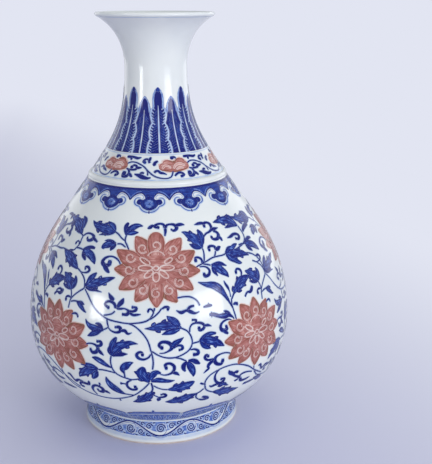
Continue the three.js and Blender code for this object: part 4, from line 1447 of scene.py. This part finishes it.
# Small lotus seen from the side, between the stems
NECK_PETALS = [
    [(5, 209.2, 4.4), (11, 209.8, 7), (20, 209.8, 8.6), (29, 210.4, 7.4), (34.6, 210.4, 4.8)],
    [(9, 211.6, 4), (12.6, 212.6, 4.6), (16, 212.4, 4.2), (19, 211.6, 4)],
    [(21.6, 212, 4), (25, 213.6, 4.8), (28, 213.4, 4.8), (31, 212, 4)],
]
# Pale strokes in its petals
NECK_GLEAMS = [
    [(8, 208.2, 1.2), (10.6, 210.4, 1.7), (14.6, 210, 1.4), (16, 208.4, 1)],
    [(18.6, 208.2, 1.2), (21.5, 210.9, 1.9), (26.4, 211.6, 1.9), (30.4, 209.8, 1.3)],
    [(21, 207.6, 1), (24.6, 208.8, 1.5), (28.4, 208.2, 1)],
]
GLEAM = (0.42, 0.0, 0.5)
SMALL_PETAL = (0.62, 0.3, 0.3)
FULL_BRUSH = 1.15


def heavier(stroke):
    """The small scroll is painted with a full brush, apart from its thin stems."""
    return [point[:2] + (point[2] * FULL_BRUSH,) if len(point) == 3 else point for point in stroke]


def neck_scroll():
    ink = Ink()
    flowers = Ink()
    strokes = [heavier(stroke) for stroke in NECK_SPRAY]
    for k in range(NECK_REPEATS):
        turn = 360 // NECK_REPEATS * k
        spray(ink, strokes, turn, STEM)
        for rank, petal in enumerate(NECK_PETALS):
            lift = 0.1 + 0.015 * rank
            flowers.stroke(turned_by(petal, turn), SMALL_PETAL, BLUSH, lift, reach=BLUSH_REACH)
        for gleam in NECK_GLEAMS:
            flowers.stroke(turned_by(gleam, turn), GLEAM, None, lift=0.22)
    rings(ink, NECK_RINGS)
    ink.finish("neck_scroll", COBALT)
    flowers.finish("neck_scroll_flowers", COPPER)


# Half width in degrees of an upright leaf and of the wash inside it, by climb, from the foot to the tip
FRONT_LEAF = [
    (219.6, 15.2), (223, 15.4), (227, 14.6), (229.6, 12.6), (232, 14), (235.2, 14.6), (238.6, 13.4),
    (241, 10.9), (243.6, 12.6), (247, 14), (250, 13), (252.2, 9.4), (254, 9.6), (257, 10), (260.5, 8.8),
    (263, 6.2), (264.6, 3.4), (265.4, 0.4),
]
FRONT_FILL = [
    (219.6, 12.7), (223, 12.9), (227, 12.1), (229.6, 10.1), (232, 11.4), (235.2, 12), (238.6, 10.8),
    (241, 8.2), (243.6, 9.8), (247, 11), (250, 9.7), (252.2, 6.2), (256, 6.8), (260, 6), (262.2, 4.2),
    (263.6, 2), (264, 0.4),
]
BACK_LEAF = [
    (219.6, 20), (244, 17), (248, 12.6), (251, 10.4), (254, 8.8), (256.5, 6.2), (258.4, 3.2), (259.4, 0.4),
]
BACK_FILL = [(219.6, 20), (242, 16), (246, 9.4), (250, 7), (254, 6), (256.4, 4), (258, 0.6)]
# Pale ribs up the middle, and the dark tip of a front leaf, by climb and width
BACK_RIB = [(219.8, .9), (236, .8), (250, .3)]
FRONT_RIB = [(219.8, 1.1), (240, .95), (253, .3)]
FRONT_TIP = [(262, 3.4), (263.6, 3), (265.2, 1)]
BACK_FRILL = (0.38, 0.0, 0.1)
FRONT_RIB_LOOK = (0.2, 0.0, 0.1)
TICK = (0.3, 0.0, 0.1)
BACK_VEINS = 13
FRONT_VEINS = 15
TICKS = 16
VEIN_APART = 1.9
VEIN_WIDTH = .35
LEAF_STEP = 0.6
# Climb from which the tone of an upright leaf changes towards its tip, and over what length
TIP_FROM = 247
TIP_LENGTH = 9


def leaf_shape(ink, middle, profile, look, lift, shrink=0.0):
    """Upright leaf from half widths in degrees; shrink takes a rim off it, in millimetres."""
    low, high = profile[0][0], profile[-1][0]
    steps = math.ceil((high - low) / LEAF_STEP)
    points = []
    for i in range(steps + 1):
        climb = low + (high - low) * i / steps
        width = 2 * (between(profile, climb) * degree_at(climb) - shrink)
        if width > 0.02:
            points.append((middle, climb, width, climb))
    ink.ribbon(points, look, lift)
    ink.count += 1


def toned(body, tip, gathered, soft):
    """Look of an upright leaf whose tone changes towards its tip."""
    def look(_, climb):
        share = min(max((climb - TIP_FROM) / TIP_LENGTH, 0.0), 1.0)
        return body + (tip - body) * share, gathered, soft
    return look


LEAF_WASH = toned(1.02, 1.14, 0.12, 0.1)
LEAF_EDGE = toned(0.93, 0.5, 0.05, 0.15)
LEAF_FRILL = toned(0.2, 0.4, 0.0, 0.1)


def back_leaf(ink, middle, raised):
    """Leaf of the rear rank; its neighbour lies a little higher."""
    leaf_shape(ink, middle, BACK_LEAF, DARK_RIM, 0.06 + raised)
    leaf_shape(ink, middle, BACK_LEAF[1:], BACK_FRILL, 0.08 + raised, shrink=0.45)
    leaf_shape(ink, middle, BACK_FILL, LEAF_WASH, 0.1 + raised)
    upright(ink, middle, BACK_RIB, PALE, lift=0.13)
    for i in range(BACK_VEINS):
        climb = 224 + VEIN_APART * i
        vein = [(1.4, climb, VEIN_WIDTH), (13 - 0.5 * i, climb - 3.4, VEIN_WIDTH)]
        both_sides(ink, middle, vein, VEIN, lift=0.115)


def front_leaf(ink, middle):
    """Leaf of the front rank, with veins and a pale frilled edge crossed by short ticks."""
    leaf_shape(ink, middle, FRONT_LEAF, LEAF_EDGE, 0.16)
    leaf_shape(ink, middle, FRONT_LEAF, LEAF_FRILL, 0.18, shrink=0.3)
    leaf_shape(ink, middle, FRONT_FILL, LEAF_WASH, 0.2)
    upright(ink, middle, FRONT_RIB, FRONT_RIB_LOOK, lift=0.24)
    for i in range(FRONT_VEINS):
        climb = 223 + VEIN_APART * i
        reach = between(FRONT_FILL, climb) - 3.4
        vein = [(1.6, climb, VEIN_WIDTH), (reach, climb - 2.2, VEIN_WIDTH)]
        both_sides(ink, middle, vein, VEIN, lift=0.22)
    for i in range(TICKS):
        climb = 221 + 2.0 * i
        reach = between(FRONT_FILL, climb)
        tick = [(reach + .8, climb + .5, .8), (reach - 3.2, climb - 1.1, .5)]
        both_sides(ink, middle, tick, TICK, lift=0.27)
    upright(ink, middle, FRONT_TIP, DEEP, lift=0.24)


def plantain_band():
    """Two ranks of upright leaves that climb the neck."""
    ink = Ink()
    for k in range(LEAVES):
        back_leaf(ink, BACK_LEAF_FIRST + LEAF_PITCH * k, 0.004 * (k % 2))
    for k in range(LEAVES):
        front_leaf(ink, FRONT_LEAF_FIRST + LEAF_PITCH * k)
    ink.finish("plantain_leaves", COBALT)


# Upper edge of a lappet, by degrees from its middle
LAPPET_EDGE = [(0, 28.9), (6, 28.5), (9.5, 27.6), (12.5, 26), (14.2, 24.4), (15, 23)]
LAPPET_FOOT = 0.3
# Bands that follow the edge: how far under it they begin and end, look, cells and lift
LAPPET_BANDS = [
    (2, 0, DARK_RIM, 3, 0.09),
    (5.6, 4.6, (0.2, 0.0, 0.3), 2, 0.08),
    (7, 6.1, (0.6, 0.0, 0.25), 2, 0.08),
]
LAPPET_WASH = (0.61, 0.0, 0.5)
LAPPET_TIP = [(27.6, 3), (29.6, 1.8), (31.6, .4)]
LAPPET_GAP = [(.4, 22.6, .8), (.6, 12, .7), (.6, 3, .6)]
STRIPE = (0.68, 0.0, 0.4)
STRIPES = 9
STRIPES_APART = 3.1


def lappet_top(angle):
    return between(LAPPET_EDGE, from_nearest(angle, LAPPET_FIRST, LAPPET_PITCH))


def lappet(ink, middle):
    """Pointed tip and stripes of one lappet, and the pale lines between it and the next."""
    upright(ink, middle, LAPPET_TIP, DARK_RIM, lift=0.12, bleed=BLEED)
    for i in range(STRIPES):
        place = middle + (i - STRIPES // 2) * STRIPES_APART
        upright(ink, place, [(lappet_top(place) - 7.5, .8), (14, 1.9), (5, .6)], STRIPE, lift=0.1)
    both_sides(ink, middle + LAPPET_PITCH / 2, LAPPET_GAP, PALE, lift=0.12)


def lappet_border():
    """Row of pointed lappets that rises from the foot."""
    ink = Ink()
    angles = [LAPPET_FIRST + i for i in range(361)]
    ink.band(lambda _: LAPPET_FOOT, lappet_top, angles, 12, LAPPET_WASH, 0.05)
    for low, high, look, cells, lift in LAPPET_BANDS:
        ink.band(lambda a: lappet_top(a) - low, lambda a: lappet_top(a) - high, angles, cells, look, lift)
    rings(ink, LAPPET_RINGS)
    for k in range(LAPPETS):
        lappet(ink, LAPPET_FIRST + LAPPET_PITCH * k)
    ink.finish("foot_lappets", COBALT)


WAVE_LEVEL = -6.2
WAVE_HEIGHT = 4.7
# Whorls inside one wave: degrees from its middle, distance from its crest and radius in millimetres
WHORLS = [
    (-16.8, 9.1, 0.9), (-13.2, 8.3, 1.6), (-8.2, 6.8, 2.4), (-4.7, 9.0, 1.0), (4.9, 9.0, 1.0),
    (8.4, 6.8, 2.4), (13.4, 8.3, 1.6), (17, 9.1, 0.9),
]
LARGE_WHORL = (0.3, 5.3, 3.3)
# Bare crescent inside a crest: degrees from its middle, distance from the wave line and width
CRESCENT = [(-12, 1.2, .5), (-7, 1.3, 1.6), (0, 1.5, 2.2), (7, 1.3, 1.6), (12, 1.2, .5)]
# Bare hook round the large whorl, and the dark line inside it
HOOK_RADIUS = 4.2
HOOK_TURNS = [math.radians(-100 + 34 * i) for i in range(6)]
HOOK_DARK = 4
WHORL_GROUND = (0.24, 0.0, 0.3)
WHORL_LINE = (1.05, 0.0, 0.1)
WHORL_TURNS = 0.62
WHORL_POINTS = 10
# Lines along the waves: how far over the middle of the line, width and look
WAVE_LINES = [(0.0, 1.2, DEEP), (-1.5, 0.5, MIDDLE)]
WAVE_STEPS = 240


def wave_at(angle):
    """Climb of the wave line round the foot ring."""
    return WAVE_LEVEL + WAVE_HEIGHT * math.cos(math.radians((angle - WAVE_FIRST) * WAVES))


def whorl(ink, middle, radius, side):
    """Spiral eddy drawn in dark line on a pale ground."""
    ink.stroke([middle + (2 * radius + 0.7,)], WHORL_GROUND, None, lift=0.06)
    turns = WHORL_TURNS * radius
    count = math.ceil(turns * WHORL_POINTS)
    points = []
    for i in range(count + 1):
        a = 2 * math.pi * turns * i / count
        reach = radius * (1 - 0.88 * i / count)
        points.append(spot(middle, reach * math.cos(a), side * reach * math.sin(a)) + (0.9,))
    ink.stroke(points, WHORL_LINE, None, lift=0.12, step=0.5)


def wave(ink, middle, side):
    """What fills one wave, a crest under the line or a hollow over it."""
    crest = WAVE_LEVEL - WAVE_HEIGHT * side
    crescent = [(middle + x, wave_at(middle + x) + side * away, width) for x, away, width in CRESCENT]
    ink.stroke(crescent, BARE, None, lift=0.07)
    for place, depth, radius in WHORLS + [LARGE_WHORL]:
        whorl(ink, (middle + place, crest + side * depth), radius, side)
    centre = (middle + LARGE_WHORL[0], crest + side * LARGE_WHORL[1])
    hook = []
    for i, a in enumerate(HOOK_TURNS):
        across, up = HOOK_RADIUS * math.cos(a), side * HOOK_RADIUS * math.sin(a)
        hook.append(spot(centre, across, up) + (0.9 - 0.1 * i,))
    ink.stroke(hook, BARE, None, lift=0.15)
    dark = [(angle, climb - side * 0.7, width * 0.6) for angle, climb, width in hook[:HOOK_DARK]]
    ink.stroke(dark, GROUND, None, lift=0.17)


def wave_border():
    """Rolling waves round the foot ring, filled with whorls."""
    ink = Ink()
    rings(ink, FOOT_RINGS)
    for k in range(WAVES):
        wave(ink, WAVE_FIRST + WAVE_PITCH * k, -1)
        wave(ink, WAVE_FIRST + WAVE_PITCH * (k + 0.5), 1)
    angles = [360 * i / WAVE_STEPS for i in range(WAVE_STEPS + 1)]
    for over, width, look in WAVE_LINES:
        line = [(angle, wave_at(angle) + over, width, angle) for angle in angles]
        ink.ribbon(line, look, 0.22)
    ink.finish("foot_waves", COBALT)


def rim_line():
    ink = Ink()
    rings(ink, RIM_RINGS)
    ink.finish("rim_line", COBALT)


BACKDROP = linear(226, 229, 242)
# Floor colours at the left and at the right: the change between them is painted light and shade across the
# table
FLOOR_LEFT = linear(216, 216, 236)
FLOOR_RIGHT = linear(196, 197, 225)
FLOOR_ROUGHNESS = 0.9
FLOOR_HALF = 6.0
ROOM_COLOUR = (0.86, 0.89, 0.925, 1)
# Light of the room from the far left and from the far right
ROOM_STRENGTH = (0.66, 0.94)
# Lamps: name, place in metres, width, height, power in watts and what they act on
LAMPS = [
    ("window_left", (-2.12, -1.76, 0.42), 0.6, 0.78, 20.5, "GLOSSY"),
    ("window_right", (1.98, -1.86, 0.58), 1.2, 0.92, 28.0, "BOTH"),
    ("low_fill", (0.2, -2.9, 0.17), 3.4, 0.26, 22.0, "DIFFUSE"),
    ("far_window_left", (-1.5, 1.5, 0.45), 1.2, 1.4, 4.6, "GLOSSY"),
    ("far_window_right", (1.5, 1.5, 0.45), 1.2, 1.4, 6.2, "GLOSSY"),
]
LAMPS_AIM = Vector((0, 0, 0.14))

# Camera of the photo: picture height and focal length in pixels, place in metres, look down in radians
PICTURE_HEIGHT = 464
FOCAL_PIXELS = 866.5
SENSOR_HEIGHT = 36.0
EYE = (0.042, -0.6144, 0.3069)
LOOK_DOWN = 0.263


def seen_straight(tree):
    """One for what the camera sees, also in a mirror or through glass, and nought for light."""
    seen = tree.nodes.new("ShaderNodeLightPath").outputs
    straight = maths(tree, "MAXIMUM", seen["Is Camera Ray"], seen["Is Glossy Ray"])
    return maths(tree, "MAXIMUM", straight, seen["Is Transmission Ray"])


def show_backdrop(tree, kind, share, surface, output):
    """Shows the backdrop's colour over a surface or the world's light, by a share."""
    backdrop = join(tree, kind, Color=BACKDROP, Strength=1.0)
    mixed = join(tree, "ShaderNodeMixShader", _0=share, _1=surface.outputs[0], _2=backdrop.outputs[0])
    tree.links.new(mixed.outputs[0], tree.nodes[output].inputs["Surface"])


def pale_stage():
    """Lilac floor that pales into the backdrop, sooner on the right, and keeps the vase's shadow. Its
    colour, lighter at the left and darker at the right, is painted light and shade against the stronger
    light from the right. Its later paling on the left is a painted soft shadow on that side of the stage.
    """
    material, tree, shader = node_material("pale_floor")
    place = own_place(tree)
    x, y, _ = join(tree, "ShaderNodeSeparateXYZ", Vector=place).outputs
    # Colour from left to right: painted light and shade, lighter at the left and darker at the right
    stops = [(0.0, FLOOR_LEFT), (1.0, FLOOR_RIGHT)]
    feed(tree, shader.inputs["Base Color"], ramp_of(tree, step_of(tree, x, -0.35, 0.35), stops))
    shader.inputs["Roughness"].default_value = FLOOR_ROUGHNESS
    # The floor pales into the backdrop later on the left than on the right: a painted soft shadow on the
    # left of the stage
    away = plus(tree, y, times(tree, x, 2.0))
    distance = join(tree, "ShaderNodeVectorMath", _0=place)
    distance.operation = "LENGTH"
    around = step_of(tree, distance.outputs["Value"], 0.45, 2.4)
    far = maths(tree, "MAXIMUM", step_of(tree, away, -0.15, 1.15), around)
    share = times(tree, far, seen_straight(tree))
    show_backdrop(tree, "ShaderNodeEmission", share, shader, "Material Output")
    return material


def soft_room():
    """Soft light from all round, stronger from the right; the eye sees it as the pale backdrop."""
    world = bpy.data.worlds.new("soft_room")
    world.use_nodes = True
    tree = world.node_tree
    light = tree.nodes["Background"]
    light.inputs["Color"].default_value = ROOM_COLOUR
    direction = tree.nodes.new("ShaderNodeTexCoord").outputs["Generated"]
    across = join(tree, "ShaderNodeSeparateXYZ", Vector=direction).outputs["X"]
    feed(tree, light.inputs["Strength"], step_of(tree, across, -1.0, 1.0, *ROOM_STRENGTH))
    show_backdrop(tree, "ShaderNodeBackground", seen_straight(tree), light, "World Output")
    bpy.context.scene.world = world


def stage():
    floor_mesh = bpy.data.meshes.new("floor")
    s = FLOOR_HALF
    floor_mesh.from_pydata([(-s, -s, 0), (s, -s, 0), (s, s, 0), (-s, s, 0)], [], [(0, 1, 2, 3)])
    floor = bpy.data.objects.new("floor", floor_mesh)
    bpy.context.scene.collection.objects.link(floor)
    floor_mesh.materials.append(pale_stage())


def lamps():
    for name, place, width, height, power, acts_on in LAMPS:
        lamp = bpy.data.lights.new(name, "AREA")
        lamp.shape = "RECTANGLE"
        lamp.size = width
        lamp.size_y = height
        lamp.energy = power
        holder = bpy.data.objects.new(name, lamp)
        holder.location = place
        holder.visible_camera = False
        holder.visible_glossy = acts_on != "DIFFUSE"
        holder.visible_diffuse = acts_on != "GLOSSY"
        holder.rotation_euler = (LAMPS_AIM - Vector(place)).to_track_quat("-Z", "Y").to_euler()
        bpy.context.scene.collection.objects.link(holder)


def camera():
    lens = bpy.data.cameras.new("photo_view")
    lens.sensor_fit = "VERTICAL"
    lens.sensor_height = SENSOR_HEIGHT
    lens.lens = FOCAL_PIXELS / PICTURE_HEIGHT * SENSOR_HEIGHT
    holder = bpy.data.objects.new("photo_view", lens)
    holder.location = EYE
    holder.rotation_euler = (math.pi / 2 - LOOK_DOWN, 0, 0)
    bpy.context.scene.collection.objects.link(holder)
    bpy.context.scene.camera = holder


foot_ring()
lower_belly()
section("glazed_upper_belly", "upper_belly", UPPER, UPPER_STEPS)
section("glazed_neck", "neck", NECK, NECK_STEPS)
flared_mouth()
raised_fillet()
foot_slip()
slip_roll("glazed_belly_seam", "slip_roll_belly", LOWER, UPPER, BELLY[1])
slip_roll("glazed_collar_seam", "slip_roll_collar", UPPER, NECK, COLLAR[1])
slip_roll("glazed_waist_seam", "slip_roll_waist", NECK, MOUTH, WAIST[1])
lotus_scroll()
ruyi_collar()
neck_scroll()
plantain_band()
lappet_border()
wave_border()
rim_line()
stage()
soft_room()
lamps()
camera()
bpy.context.scene.view_settings.view_transform = "Standard"
